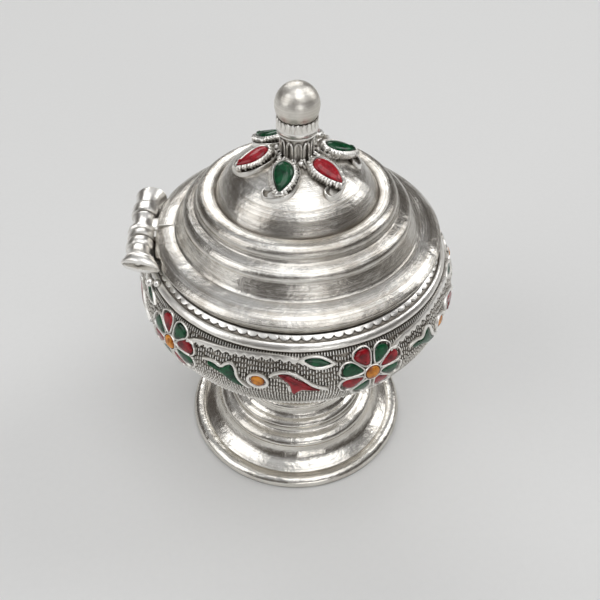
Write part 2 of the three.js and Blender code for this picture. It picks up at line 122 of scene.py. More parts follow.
def noise(tree, place, scale, detail=2, roughness=0.5):
    node = add_node(tree, "TexNoise", Vector=place, Scale=scale, Detail=detail, Roughness=roughness)
    return node.outputs["Fac"]


def ranged(tree, value, low, high, to_low=0.0, to_high=1.0):
    """A value moved from the range low to high into another range."""
    node = add_node(tree, "MapRange", Value=value, From_Min=low, From_Max=high, To_Min=to_low, To_Max=to_high)
    return node.outputs["Result"]


def mixed(tree, share, first, second):
    node = add_node(tree, "Mix")
    node.data_type = "RGBA"
    set_inputs(tree, node, {"Factor": share, "A": first, "B": second})
    return node.outputs["Result"]


def closed_in(tree, reach, samples):
    """Near 0 where the surface is open, and higher in corners within the reach."""
    node = add_node(tree, "AmbientOcclusion", Distance=reach * MM)
    node.samples = samples
    return math_node(tree, "SUBTRACT", 1, node.outputs["AO"])


def bumped(tree, height, depth, strength=1):
    return add_node(tree, "Bump", Height=height, Distance=depth * MM, Strength=strength).outputs["Normal"]


def seen_by_camera(tree):
    return add_node(tree, "LightPath").outputs["Is Camera Ray"]


# %% [markdown]
# ## The studio
# Polished silver shows what stands round it, so the studio matters as much as the metal. The floor is pale
# and the walls are dim, and a dark card runs round the set at the camera's height. Soft lamps under a grey
# ceiling draw the bright bands that run along each moulding, and the card draws the dark bands between
# them. For the camera alone, the floor fades into a plain pale backdrop.

# %% Floor, room and lamps
FLOOR_COLOUR = (0.80, 0.80, 0.79, 1)
FLOOR_GRAIN = (0.776, 0.776, 0.7663, 1)
FLOOR_SIZE = 3  # metres
BACKDROP = (0.60, 0.60, 0.595, 1)
BACKDROP_START, BACKDROP_FULL = 0.25, 0.9  # metres from the box, between which the floor fades
CARD = (0.045, 0.035, 0.027, 1)
ROOM = [  # colours by the sine of the angle over the horizon: walls, card and ceiling
    (0.06, (0.30, 0.295, 0.29, 1)),
    (0.26, CARD),
    (0.43, CARD),
    (0.8, (0.38, 0.385, 0.395, 1)),
]
LAMPS = {  # place and the height that it is aimed at, size, watts
    "lamp_over": ((0.12, -0.20, 0.75), 0.04, (0.50, 0.80), 2.1),
    "lamp_left": ((-0.62, -0.20, 0.46), 0.04, (0.50, 0.60), 1.4),
    "lamp_front": ((0.16, -0.75, 0.24), 0.03, (0.40, 0.20), 0.55),
    "lamp_right": ((0.60, 0.22, 0.50), 0.04, (0.30, 0.50), 1.2),
    "lamp_back": ((-0.10, 0.66, 0.52), 0.05, (0.60, 0.30), 1.4),
}


def add_floor():
    bpy.ops.object.select_all(action="DESELECT")
    bpy.ops.mesh.primitive_plane_add(size=FLOOR_SIZE)
    floor = bpy.context.object
    floor.name = "floor"
    paper = bpy.data.materials.new("floor_paper")
    paper.use_nodes = True
    tree = paper.node_tree
    place = add_node(tree, "TexCoord").outputs["Object"]
    surface = tree.nodes["Principled BSDF"]
    grain = mixed(tree, noise(tree, place, 900), FLOOR_COLOUR, FLOOR_GRAIN)
    set_inputs(tree, surface, {"Base Color": grain, "Roughness": 0.9})

    distance = add_node(tree, "VectorMath")
    distance.operation = "LENGTH"
    set_input(tree, distance.inputs[0], place)
    fade = add_node(tree, "MapRange", Value=distance.outputs["Value"], From_Min=BACKDROP_START)
    fade.inputs["From Max"].default_value = BACKDROP_FULL
    fade.interpolation_type = "SMOOTHSTEP"
    far = add_node(tree, "Emission", Color=BACKDROP)
    share = math_node(tree, "MULTIPLY", fade.outputs["Result"], seen_by_camera(tree))
    blend = add_node(tree, "MixShader", Fac=share)
    tree.links.new(surface.outputs["BSDF"], blend.inputs[1])
    tree.links.new(far.outputs["Emission"], blend.inputs[2])
    set_input(tree, tree.nodes["Material Output"].inputs["Surface"], blend.outputs["Shader"])
    floor.data.materials.append(paper)


def add_room():
    world = bpy.data.worlds.new("studio")
    bpy.context.scene.world = world
    world.use_nodes = True
    tree = world.node_tree
    place = add_node(tree, "TexCoord").outputs["Generated"]
    ramp = add_node(tree, "ValToRGB", Fac=add_node(tree, "SeparateXYZ", Vector=place).outputs["Z"])
    stops = ramp.color_ramp.elements
    for stop, (position, colour) in zip(stops, (ROOM[0], ROOM[-1])):
        stop.position, stop.color = position, colour
    for position, colour in ROOM[1:-1]:
        stops.new(position).color = colour
    shown = mixed(tree, seen_by_camera(tree), ramp.outputs["Color"], BACKDROP)
    set_input(tree, tree.nodes["Background"].inputs["Color"], shown)


def add_lamp(name, place, aim_height, size, power):
    bpy.ops.object.light_add(type="AREA", location=place)
    lamp = bpy.context.object
    lamp.name = name
    lamp.data.shape = "RECTANGLE"
    lamp.data.size, lamp.data.size_y = size
    lamp.data.energy = power
    lamp.rotation_mode = "QUATERNION"
    lamp.rotation_quaternion = (Vector((0, 0, aim_height)) - Vector(place)).to_track_quat("-Z", "Y")


add_floor()
add_room()
for lamp_name, lamp_values in LAMPS.items():
    add_lamp(lamp_name, *lamp_values)
bpy.context.scene.view_settings.view_transform = "Standard"
print("stage: floor, room and", len(LAMPS), "lamps")

# %% [markdown]
# ## Silver
# The real silver is spun and then polished by hand. Three things show: fine rings left by the lathe, a
# slightly uneven surface that breaks up reflections, and dark tarnish in every corner that the cloth didn't
# reach. One node group gives all three as colours and values. The rings follow the distance from the box's
# axis and the height. The dark colour follows how closed in the surface is, so it paints shade into the
# corners and between pieces as well as tarnish.

# %% The silver group
RING_SCALE, DENT_SCALE, GRAIN_SCALE, CLOUD_SCALE = 1500, 420, 5200, 130  # of the noise: more is finer
SHADE_AND_TARNISH_WIDTH = 1.1  # how far the painted shade and tarnish spread out of a corner
SILVER_DEPTH = 0.05  # of the bumps


def new_group(name, **inputs):
    """A node group with named inputs and their values. It puts out a colour, a roughness and a normal."""
    group = bpy.data.node_groups.new(name, "ShaderNodeTree")
    for key, value in inputs.items():
        kind = "NodeSocketColor" if isinstance(value, tuple) else "NodeSocketFloat"
        made = group.interface.new_socket(key.replace("_", " "), in_out="INPUT", socket_type=kind)
        made.default_value = value
    for key, kind in (("Color", "Color"), ("Roughness", "Float"), ("Normal", "Vector")):
        group.interface.new_socket(key, in_out="OUTPUT", socket_type="NodeSocket" + kind)
    return group, group.nodes.new("NodeGroupInput").outputs, group.nodes.new("NodeGroupOutput")


def make_silver_group():
    group, given, result = new_group(
        "silver_surface",
        Bright=(0.90, 0.875, 0.82, 1),
        Dull=(0.62, 0.59, 0.54, 1),
        Tarnish=(0.13, 0.105, 0.08, 1),
        Tarnish_reach=0.75,
        Least_roughness=0.2,
        Most_roughness=0.42,
        Ring_depth=0.4,
        Dent_depth=2.5,
    )
    place = add_node(group, "TexCoord").outputs["Object"]
    x, y, z = add_node(group, "SeparateXYZ", Vector=place).outputs
    squares = math_node(group, "ADD", math_node(group, "POWER", x, 2), math_node(group, "POWER", y, 2))
    radius = math_node(group, "SQRT", squares)
    drift = math_node(group, "MULTIPLY_ADD", noise(group, place, 60, 2, 0.55), 0.4 * MM, radius)
    lathe_place = add_node(group, "CombineXYZ", X=drift, Z=z).outputs["Vector"]
    rings = noise(group, lathe_place, RING_SCALE, 6, 0.8)
    dents = noise(group, place, DENT_SCALE, 3)
    grain = noise(group, place, GRAIN_SCALE, 2, 0.6)
    clouds = noise(group, place, CLOUD_SCALE, 4, 0.6)

    broken = ranged(group, clouds, 0.3, 0.7, 0.75, 1.3)
    # Painted shade and tarnish: the colour darkens where the surface is closed in, in corners and where
    # pieces meet
    shade_and_tarnish = math_node(group, "MULTIPLY", closed_in(group, SHADE_AND_TARNISH_WIDTH, 8), broken)
    mask = ranged(group, shade_and_tarnish, 0.10, given["Tarnish reach"])
    worn = math_node(group, "MULTIPLY_ADD", rings, 0.6, math_node(group, "MULTIPLY", clouds, 0.4))
    cloudy = mixed(group, ranged(group, worn, 0.43, 0.58), given["Bright"], given["Dull"])
    rough = ranged(group, worn, 0.3, 0.7, given["Least roughness"], given["Most roughness"])

    height = math_node(group, "MULTIPLY", rings, given["Ring depth"])
    height = math_node(group, "MULTIPLY_ADD", dents, given["Dent depth"], height)
    height = math_node(group, "MULTIPLY_ADD", grain, 0.28, height)
    look = {
        "Color": mixed(group, mask, cloudy, given["Tarnish"]),
        "Roughness": math_node(group, "MULTIPLY_ADD", mask, 0.25, rough),
        "Normal": bumped(group, height, SILVER_DEPTH),
    }
    set_inputs(group, result, look)
    return group


def finished(name, group, look_values, **surface_values):
    """A material whose colour, roughness and normal come from a group with values of its own."""
    material = bpy.data.materials.new(name)
    material.use_nodes = True
    tree = material.node_tree
    surface = tree.nodes["Principled BSDF"]
    look = add_node(tree, "Group")
    look.node_tree = group
    set_inputs(tree, look, look_values)
    out = {"Base Color": look.outputs["Color"]} | {key: look.outputs[key] for key in ("Roughness", "Normal")}
    set_inputs(tree, surface, surface_values | out)
    return material


SILVER_GROUP = make_silver_group()


def silver(name, roughness, rings, dents=2.5, **others):
    least, most = roughness
    values = {"Least_roughness": least, "Most_roughness": most, "Ring_depth": rings, "Dent_depth": dents}
    return finished(name, SILVER_GROUP, values | others, Metallic=1)


POLISHED_SILVER = silver("polished_silver", (0.15, 0.32), 0.15, 3.5)
SPUN_SILVER = silver(
    "spun_silver", (0.15, 0.32), 1.2, 3.5, Bright=(0.85, 0.83, 0.785, 1), Dull=(0.47, 0.435, 0.385, 1)
)
PIN_SILVER = silver("pin_silver", (0.26, 0.45), 0.0, 3.0, Tarnish_reach=0.6)
WIRE_SILVER = silver(
    "wire_silver",
    (0.24, 0.38),
    0.0,
    3.0,
    Bright=(0.98, 0.965, 0.93, 1),
    Dull=(0.86, 0.835, 0.78, 1),
    Tarnish=(0.10, 0.072, 0.048, 1),
    Tarnish_reach=1.1,
)
SATIN_SILVER = silver(
    "satin_silver", (0.34, 0.46), 0.05, 4.0, Bright=(0.89, 0.865, 0.81, 1), Dull=(0.66, 0.63, 0.57, 1)
)
GROUND_SILVER = silver(
    "ground_silver",
    (0.35, 0.55),
    0.0,
    Bright=(0.56, 0.525, 0.47, 1),
    Dull=(0.40, 0.365, 0.315, 1),
    Tarnish=(0.09, 0.075, 0.06, 1),
    Tarnish_reach=0.5,
)
FINISHES = (POLISHED_SILVER, SPUN_SILVER, PIN_SILVER, WIRE_SILVER, SATIN_SILVER, GROUND_SILVER)
print("silver finishes:", ", ".join(finish.name for finish in FINISHES))

# %% [markdown]
# ## Enamel
# The enamel is coloured glass melted into silver cells. It has painted shade where the cell walls close it
# in, lets the chased metal under it show through as darker veins and lighter flecks, and has a hard clear
# gloss on top.

# %% The enamel group


def make_enamel_group():
    group, given, result = new_group(
        "enamel_depth", Deep=(0.1, 0.0, 0.0, 1), Light=(0.5, 0.02, 0.03, 1), Fleck=(0.7, 0.2, 0.2, 1)
    )
    place = add_node(group, "TexCoord").outputs["Object"]
    flecks = noise(group, place, 3800, 2, 0.6)
    # Painted shade: the colour goes towards Deep where the cell walls close the enamel in
    edge = math_node(group, "MULTIPLY", closed_in(group, 0.5, 6), 0.8)
    veins = ranged(group, noise(group, place, 700, 3, 0.6), 0.38, 0.68)
    colour = mixed(group, math_node(group, "ADD", veins, edge, clamp=True), given["Light"], given["Deep"])
    look = {
        "Color": mixed(group, ranged(group, flecks, 0.64, 0.78, 0, 0.35), colour, given["Fleck"]),
        "Roughness": ranged(group, flecks, 0.4, 0.8, 0.10, 0.28),
        "Normal": bumped(group, noise(group, place, 900), 0.03, 0.8),
    }
    set_inputs(group, result, look)
    return group


ENAMEL_GROUP = make_enamel_group()


def enamel(name, deep, light, fleck):
    colours = {key: (*colour, 1) for key, colour in (("Deep", deep), ("Light", light), ("Fleck", fleck))}
    gloss = {"Specular_IOR_Level": 0.35, "Coat_Weight": 0.2, "Coat_Roughness": 0.06}
    return finished(name, ENAMEL_GROUP, colours, IOR=1.5, **gloss)


RED_ENAMEL = enamel("red_enamel", (0.10, 0.002, 0.005), (0.36, 0.008, 0.016), (0.55, 0.06, 0.07))
PALE_RED_ENAMEL = enamel("pale_red_enamel", (0.22, 0.005, 0.012), (0.48, 0.018, 0.03), (0.85, 0.36, 0.34))
GREEN_ENAMEL = enamel("green_enamel", (0.001, 0.022, 0.009), (0.003, 0.095, 0.032), (0.04, 0.24, 0.11))
ORANGE_ENAMEL = enamel("orange_enamel", (0.20, 0.035, 0.004), (0.78, 0.30, 0.03), (0.9, 0.62, 0.25))
print("enamels:", RED_ENAMEL.name, PALE_RED_ENAMEL.name, GREEN_ENAMEL.name, ORANGE_ENAMEL.name)

# %% [markdown]
# ## Tools for turned pieces
# A spun or turned piece is its section, swept once round the axis. The section starts as a circle primitive
# whose corners are moved onto the outline, and the Spin operator sweeps it. An outline is written in a few
# points, and a smooth curve is drawn through them. A break between two lists of points keeps a crisp corner.

# %% Helpers for outlines and turned pieces
TURN_STEPS = 180
SMOOTH_ANGLE = math.radians(38)
MERGE_DISTANCE = 0.0004 * MM


def between(a, b, c, d, t):
    """A curve through four numbers, at a share t of the way from the second to the third."""
    return 0.5 * (2 * b + (c - a) * t + (2 * a - 5 * b + 4 * c - d) * t**2 + (3 * b - a - 3 * c + d) * t**3)


def smooth(points, per=6, closed=False):
    """A curve through 2D points, with some steps between each two."""
    count = len(points)
    curve = []
    for i in range(count if closed else count - 1):
        near = [(i + k) % count if closed else min(max(i + k, 0), count - 1) for k in (-1, 0, 1, 2)]
        corners = [points[k] for k in near]
        curve += [tuple(between(*four, step / per) for four in zip(*corners)) for step in range(per)]
    return curve if closed else [*curve, tuple(points[-1])]


def outline(*runs, per=6):
    """Smooth runs joined at crisp corners."""
    points = []
    for run in runs:
        curve = smooth(run, per) if len(run) > 2 else list(run)
        points += curve[1:] if points and math.dist(points[-1], curve[0]) < 1e-6 else curve
    return points


def finish_shape():
    """Closes the active piece's seams, turns its faces outwards and shades smoothly across shallow edges."""
    bpy.ops.object.mode_set(mode="EDIT")
    bpy.ops.mesh.select_all(action="SELECT")
    bpy.ops.mesh.remove_doubles(threshold=MERGE_DISTANCE)
    bpy.ops.mesh.select_all(action="SELECT")
    bpy.ops.mesh.normals_make_consistent(inside=False)
    bpy.ops.object.mode_set(mode="OBJECT")
    bpy.ops.object.shade_smooth_by_angle(angle=SMOOTH_ANGLE)


def new_circle(name, count, fill):
    bpy.ops.object.select_all(action="DESELECT")
    bpy.ops.mesh.primitive_circle_add(vertices=count, radius=MM, fill_type=fill)
    piece = bpy.context.object
    piece.name = piece.data.name = name
    return piece


def turned(name, section, steps=TURN_STEPS):
    """A closed section in (radius, height), swept round the Z axis."""
    piece = new_circle(name, len(section), "NOTHING")
    for vertex, (radius, height) in zip(piece.data.vertices, section):
        vertex.co = (radius * MM, 0, height * MM)
    bpy.ops.object.mode_set(mode="EDIT")
    if section[0][0] == 0 and section[-1][0] == 0:
        bpy.ops.mesh.select_all(action="DESELECT")
        work = bmesh.from_edit_mesh(piece.data)
        work.verts.ensure_lookup_table()
        work.edges.get((work.verts[0], work.verts[-1])).select_set(True)
        bmesh.update_edit_mesh(piece.data)
        bpy.ops.mesh.delete(type="EDGE")
    bpy.ops.mesh.select_all(action="SELECT")
    bpy.ops.mesh.spin(steps=steps, angle=math.tau, center=(0, 0, 0), axis=(0, 0, 1))
    finish_shape()
    return piece


MADE = []


def hand_over(piece, material, body, slot, *nodes):
    """Gives a piece its material, its body and the solids that it replaces. The slot is not used."""
    piece.data.materials.clear()
    piece.data.materials.append(material)
    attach(piece, body)
    if nodes:
        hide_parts(*nodes)
    MADE.append(piece.name)


def shifted(points, depth):
    """An outline moved to its left by some depth. A point on the axis stays there."""
    moved = []
    for i, (radius, height) in enumerate(points):
        (r0, z0), (r1, z1) = points[max(i - 1, 0)], points[min(i + 1, len(points) - 1)]
        length = math.hypot(r1 - r0, z1 - z0) or 1
        moved.append((max(radius - (z1 - z0) / length * depth, 0), height + (r1 - r0) / length * depth))
    return moved


# %% [markdown]
# ## The foot
# The foot is a stepped pedestal, spun from sheet and open below. A heavy rounded ring runs round its edge.

# %% Foot and foot ring
SHEET = 0.9  # the thickness of the silver

FOOT_SIDE = outline(
    [(18.38, 0.0), (18.38, 1.42)],
    [(18.38, 1.42), (17.4, 2.0), (16.3, 2.75), (15.5, 3.75), (15.05, 4.7)],
    [(15.05, 4.7), (15.15, 5.2), (14.85, 5.75), (14.2, 6.2), (13.5, 6.45)],
    [(13.5, 6.45), (12.95, 6.75), (12.75, 7.4)],
    [(12.75, 7.4), (12.7, 7.95), (12.2, 8.45), (11.5, 8.75)],
    [(11.5, 8.75), (10.95, 9.3), (10.6, 10.1)],
    [(10.6, 10.1), (10.5, 10.65), (10.05, 11.0), (9.5, 11.2)],
    [(9.5, 11.2), (8.95, 12.2), (8.75, 13.6), (8.85, 15.2), (9.2, 16.4), (9.5, 17.0)],
)
FOOT_INSIDE = [
    (17.1, 0.0), (16.6, 1.0), (14.6, 2.9), (12.4, 5.3), (10.3, 8.2), (8.4, 11.0), (7.8, 13.4), (7.9, 15.4),
    (7.2, 16.1),
]

foot = turned("foot_dressed", [(0, 16.1), *reversed(smooth(FOOT_INSIDE)), *FOOT_SIDE, (0, 17.0)])
hand_over(foot, POLISHED_SILVER, "bowl", "silver", "foot")

FOOT_RING = [
    (20.6, 0.0), (20.86, 0.2), (20.88, 0.7), (20.62, 1.25), (20.1, 1.66), (19.5, 1.82), (18.9, 1.74),
    (18.4, 1.45),
]
foot_ring = turned("foot_ring_dressed", outline([(18.4, 0.0), (20.6, 0.0)], FOOT_RING))
hand_over(foot_ring, POLISHED_SILVER, "bowl", "silver", "foot_ring")
print("foot faces:", len(foot.data.polygons), "ring faces:", len(foot_ring.data.polygons))

# %% [markdown]
# ## The bowl
# The bowl swells out to its belly and draws in again to the mouth. Its side is kept as a curve, because the
# whole ornament is wrapped round it later.

# %% Bowl shell and mouth ring
BOWL_BASE = 17.3
SHOULDER_HEIGHT = 43.1
MOUTH_RADIUS = 21.2
BOWL_POINTS = [
    (9.5, 17.3), (13.5, 18.3), (16.6, 20.2), (20.6, 25.7), (22.5, 28.4), (24.27, 31.2), (25.4, 34.0),
    (25.62, 36.7), (24.87, 39.4), (23.6, 41.9), (22.1, 43.1),
]
BOWL_SIDE = smooth(BOWL_POINTS, 10)

bowl_inside = [(0, BOWL_BASE + SHEET), *shifted(BOWL_SIDE, SHEET)[:-1], (MOUTH_RADIUS, SHOULDER_HEIGHT)]
bowl_shell = turned("bowl_shell_dressed", [(0, BOWL_BASE), *BOWL_SIDE, *reversed(bowl_inside)])
hand_over(bowl_shell, POLISHED_SILVER, "bowl", "silver", "bowl_shell")

MOUTH_RING = outline(
    [(19.0, 43.5), (19.1, 43.4), (21.9, 43.4), (22.05, 43.5)],
    [(22.05, 43.5), (22.1, 43.9), (22.1, 44.3), (22.0, 44.6)],
    [(22.0, 44.6), (21.85, 44.7), (19.1, 44.7), (19.0, 44.6)],
    per=2,
)
mouth_ring = turned("mouth_ring_dressed", MOUTH_RING)
hand_over(mouth_ring, POLISHED_SILVER, "bowl", "bright_silver", "mouth_ring")
print("bowl faces:", len(bowl_shell.data.polygons))

# %% [markdown]
# ## The ornament on the bowl
# The real bowl is chased: its ground is matted with rows of short punch strokes, and the flowers and leaves
# stand out of it as silver cells that hold the enamel. Each motif is drawn flat, as seen from outside, with
# u to the right, v up and w out of the silver. It is then wrapped onto the bowl's side, so it follows it.

# %% Wrap flat drawings round the bowl
BOWL_STEPS = [math.dist(a, b) for a, b in zip(BOWL_SIDE, BOWL_SIDE[1:])]


def bowl_along(height):
    """How far along the bowl's side, from its bottom, a height lies."""
    run = 0
    for (_, low), (_, high), step in zip(BOWL_SIDE, BOWL_SIDE[1:], BOWL_STEPS):
        if low <= height <= high:
            return run + step * (height - low) / (high - low)
        run += step
    return run


def bowl_point(along, out=0.0):
    """(radius, height) some way along the bowl's side and some way out of it."""
    run = 0
    for i, step in enumerate(BOWL_STEPS):
        if along <= run + step or i == len(BOWL_STEPS) - 1:
            (r0, z0), (r1, z1) = BOWL_SIDE[i], BOWL_SIDE[i + 1]
            share = (along - run) / step
            rise, run_out = (z1 - z0) / step, (r1 - r0) / step
            return r0 + share * (r1 - r0) + rise * out, z0 + share * (z1 - z0) - run_out * out
        run += step


def on_bowl(azimuth, height):
    """Returns a function that puts (u, v, w) round a middle at an azimuth, in degrees, and a height."""
    start = bowl_along(height)
    middle_radius = bowl_point(start)[0]

    def place(u, v, w):
        radius, z = bowl_point(start + v, w)
        angle = math.radians(azimuth) + u / middle_radius
        return radius * math.cos(angle), radius * math.sin(angle), z

    return place


# %% Helpers for raised motifs
RING_TURN = 72  # degrees from one flower to the next
REPEATS = 5


def raised(name, rings):
    """A closed solid that runs through rings of corners, from its back to its face."""
    piece = new_circle(name, len(rings[0]), "NGON")
    bpy.ops.object.mode_set(mode="EDIT")
    for _ in rings[1:]:
        bpy.ops.mesh.extrude_region_move()
    bpy.ops.object.mode_set(mode="OBJECT")
    corners = [corner for ring in rings for corner in ring]
    for vertex, corner in zip(piece.data.vertices, corners):
        vertex.co = [c * MM for c in corner]
    finish_shape()
    return piece


def turned_copy(piece, name, degrees):
    """A copy with a mesh of its own, turned about the box's axis."""
    copy = bpy.data.objects.new(name, piece.data.copy())
    copy.data.name = name
    bpy.context.collection.objects.link(copy)
    copy.data.transform(Matrix.Rotation(math.radians(degrees), 4, "Z"))
    return copy


def joined(name, pieces):
    """Several pieces made into one."""
    bpy.ops.object.select_all(action="DESELECT")
    for piece in pieces:
        piece.select_set(True)
    bpy.context.view_layer.objects.active = pieces[0]
    if len(pieces) > 1:
        bpy.ops.object.join()
    pieces[0].name = pieces[0].data.name = name
    return pieces[0]


def crossing(point, direction, points):
    """How far the outline lies from one of its points, in a direction."""
    nearest = math.inf
    for a, b in zip(points, points[1:] + points[:1]):
        edge = (b[0] - a[0], b[1] - a[1])
        slope = direction[0] * edge[1] - direction[1] * edge[0]
        if abs(slope) < 1e-9:
            continue
        to = (a[0] - point[0], a[1] - point[1])
        far = (to[0] * edge[1] - to[1] * edge[0]) / slope
        share = (to[0] * direction[1] - to[1] * direction[0]) / slope
        if far > 1e-4 and -1e-6 <= share <= 1 + 1e-6:
            nearest = min(nearest, far)
    return nearest


def inward(points):
    """The direction into a closed outline, at each of its points."""
    doubled_area = sum(a[0] * b[1] - b[0] * a[1] for a, b in zip(points, points[1:] + points[:1]))
    side = 1 if doubled_area > 0 else -1
    directions = []
    for before, after in zip(points[-1:] + points[:-1], points[1:] + points[:1]):
        tangent = Vector((after[0] - before[0], after[1] - before[1])).normalized()
        directions.append((-tangent.y * side, tangent.x * side))
    return directions


def room_inside(points, depth, most):
    """How far each point of an outline can move in: by the depth, but not past most of the way across."""
    return [min(depth, most * crossing(*start, points)) for start in zip(points, inward(points))]


def inset(points, depth, most=0.46):
    """A closed outline moved inwards by some depth, or by less where it is narrow."""
    moves = zip(points, inward(points), room_inside(points, depth, most))
    return [(x + across * far, y + along * far) for (x, y), (across, along), far in moves]


def turned_flat(points, degrees):
    """Flat points turned about their middle."""
    c, s = math.cos(math.radians(degrees)), math.sin(math.radians(degrees))
    return [(x * c - y * s, x * s + y * c) for x, y in points]


def oval(half_width, half_height, steps, rise=0.0):
    """A flat oval, with its middle raised by some amount."""
    turns = (math.tau * i / steps for i in range(steps))
    return [(half_width * math.cos(turn), rise + half_height * math.sin(turn)) for turn in turns]


def ring(place, points, heights):
    """Flat points put in their place, all at one height or each at its own."""
    if isinstance(heights, (int, float)):
        heights = [heights] * len(points)
    return [place(u, v, w) for (u, v), w in zip(points, heights)]


# %% [markdown]
# A silver cell is a thin wall that stands round the enamel, with a floor inside it. The enamel is a pillow:
# its edge is low and its middle is full, as molten glass draws itself. Both are made of rings of the same
# outline, each a little further in, and each ring follows the bowl's side.

# %% Cells and enamel pillows
ROOT = -0.2  # the cells reach this deep into the silver under them
CELL_FLOOR = 0.17
WALL_TOP = 0.6
WALL_WIDTH = 0.34
FLOOR_STEPS = (0.06, 0.35, 0.8, 1.3)  # how far inside the wall the floor's rings lie
PILLOW_MOST = 0.34  # of the way across an outline: a pillow's rings go in no further


def wall_shares(points, lower_side):
    """How high the wall is at each point: full on the upper side, and only a share of that on the lower."""
    upward = [min(max((0.35 - rise) / 0.6, 0), 1) for _, rise in inward(points)]
    return [lower_side + (1 - lower_side) * share for share in upward]


def cell(name, place, points, wall_width, wall_top=WALL_TOP, lower_side=1.0):
    """A cell whose wall is rounded on top. Its floor is cut into rings, so that it follows the bowl."""
    shares = wall_shares(points, lower_side)
    rings = [ring(place, points, ROOT)]
    wall = ((0, 0.16), (0.06, 0.04), (wall_width * 0.4, 0), (wall_width * 0.75, 0.03), (wall_width, 0.16))
    for depth, drop in wall:
        rings.append(ring(place, inset(points, depth), [(wall_top - drop) * share for share in shares]))
    rings += [ring(place, inset(points, wall_width + depth), CELL_FLOOR) for depth in FLOOR_STEPS]
    return raised(name, rings)


def recess(name, place, points, wall_width=WALL_WIDTH):
    """A thin dark floor inside a cell's walls."""
    inside = inset(points, wall_width * 0.8)
    return raised(name, [ring(place, inside, 0.0), ring(place, inside, CELL_FLOOR + 0.03)])


def pillow(name, place, points, reach, base=0.1, edge=0.3, height=0.25):
    """Enamel that rises from its edge to edge + height at some reach inside it."""
    rings = [ring(place, points, base), ring(place, points, edge)]
    for share in (0.08, 0.2, 0.4, 0.7, 1.0):
        depths = room_inside(points, reach * share, PILLOW_MOST)
        heights = [edge + height * math.sqrt(max(1 - (1 - min(d / reach, 1)) ** 2, 0)) for d in depths]
        rings.append(ring(place, inset(points, reach * share, PILLOW_MOST), heights))
    return raised(name, rings)


def repeated(piece, name, material, slot, node=None):
    """The motif and its copies round the bowl, each handed over."""
    for number in range(1, REPEATS + 1):
        copy = turned_copy(piece, f"{name}_{number}_dressed", RING_TURN * (number - 1))
        hand_over(copy, material, "bowl", slot, *([f"{node}_{number}"] if node else []))
    bpy.data.objects.remove(piece)


# %% [markdown]
# ## The ground and its borders
# Under the lid a row of round tongues hangs from a raised strip. A plain polished ring follows, then a row
# of upright strokes, and then the matted ground down to a rope between two wires. A ring of strokes is one
# column of strokes that the Array modifier repeats round the axis. No two punch marks are alike by hand, so
# each stroke is moved a little in the end.

# %% Polished ring, strip and wires


def strip(name, height, section, steps=TURN_STEPS):
    """A turned ring whose section, in (along, out), lies on the bowl's side at a height."""
    start = bowl_along(height)
    return turned(name, [bowl_point(start + along, out) for along, out in section], steps)


UPPER_RING_HEIGHT = 42.0
LOWER_RING_HEIGHT = 29.9
ROUND_STRIP = [(-0.6, -0.1), (-0.6, 0.24), (-0.5, 0.34), (-0.2, 0.39)]
ROUND_STRIP += [(-along, out) for along, out in reversed(ROUND_STRIP)]
upper_ring = strip("band_ring_upper_dressed", UPPER_RING_HEIGHT, ROUND_STRIP)
hand_over(upper_ring, WIRE_SILVER, "bowl", "bright_silver", "band_ring_upper")

TOP_STRIP = [
    (-0.22, -0.1), (-0.22, 0.25), (-0.12, 0.28), (0.15, 0.28), (0.23, 0.22), (0.26, 0.05), (0.26, -0.1),
]
TOP_HEIGHT = 42.93
top_strip = strip("top_strip", TOP_HEIGHT, TOP_STRIP)
hand_over(top_strip, WIRE_SILVER, "bowl", "silver")
# A dark matted strip under the tongues. It also paints the shadow crescents below their lower edges.
shade = strip("tongue_ground_shade", UPPER_RING_HEIGHT, [(0.5, -0.1), (0.5, 0.04), (1.6, 0.04), (1.6, -0.1)])
hand_over(shade, GROUND_SILVER, "bowl", "silver")

GROUND_TOP, GROUND_BOTTOM = 41.6, 30.2
ground_span = bowl_along(GROUND_TOP) - bowl_along(GROUND_BOTTOM)
GROUND_ROWS = 24
ground_out = [(ground_span * i / GROUND_ROWS, 0.03) for i in range(GROUND_ROWS + 1)]
ground_in = [(along, -0.2) for along, _ in reversed(ground_out)]
ground = strip("band_ground", GROUND_BOTTOM, ground_out + ground_in)
hand_over(ground, GROUND_SILVER, "bowl", "silver")

# %% Array a piece round the axis, and the row of tongues
TONGUES = 92
TONGUE_HALF_WIDTH, TONGUE_DROP, TONGUE_TOP = 0.77, 0.62, 0.12


def arrayed(piece, count):
    """Repeats a piece evenly round the box's axis with an Array modifier, and applies it."""
    bpy.ops.object.empty_add()
    step = bpy.context.object
    step.rotation_euler = (0, 0, math.tau / count)
    bpy.context.view_layer.update()
    bpy.ops.object.select_all(action="DESELECT")
    piece.select_set(True)
    bpy.context.view_layer.objects.active = piece
    array = piece.modifiers.new("round_the_axis", "ARRAY")
    array.use_relative_offset = False
    array.use_object_offset = True
    array.offset_object = step
    array.count = count
    bpy.ops.object.modifier_apply(modifier=array.name)
    bpy.data.objects.remove(step)
    return piece


def tongue(place):
    """One round tongue: half an oval that hangs from a short straight top."""
    turns = [math.pi * i / 9 for i in range(10)]
    points = [(TONGUE_HALF_WIDTH * math.cos(turn), -TONGUE_DROP * math.sin(turn)) for turn in turns]
    points += [(-TONGUE_HALF_WIDTH, TONGUE_TOP), (TONGUE_HALF_WIDTH, TONGUE_TOP)]
    rings = [ring(place, points, -0.1), ring(place, points, 0.2)]
    rings += [ring(place, inset(points, depth), height) for depth, height in ((0.05, 0.26), (0.2, 0.29))]
    return raised("tongue", rings)


tongues = arrayed(tongue(on_bowl(0, TOP_HEIGHT)), TONGUES)
tongues.name = tongues.data.name = "tongue_row"
hand_over(tongues, WIRE_SILVER, "bowl", "silver")

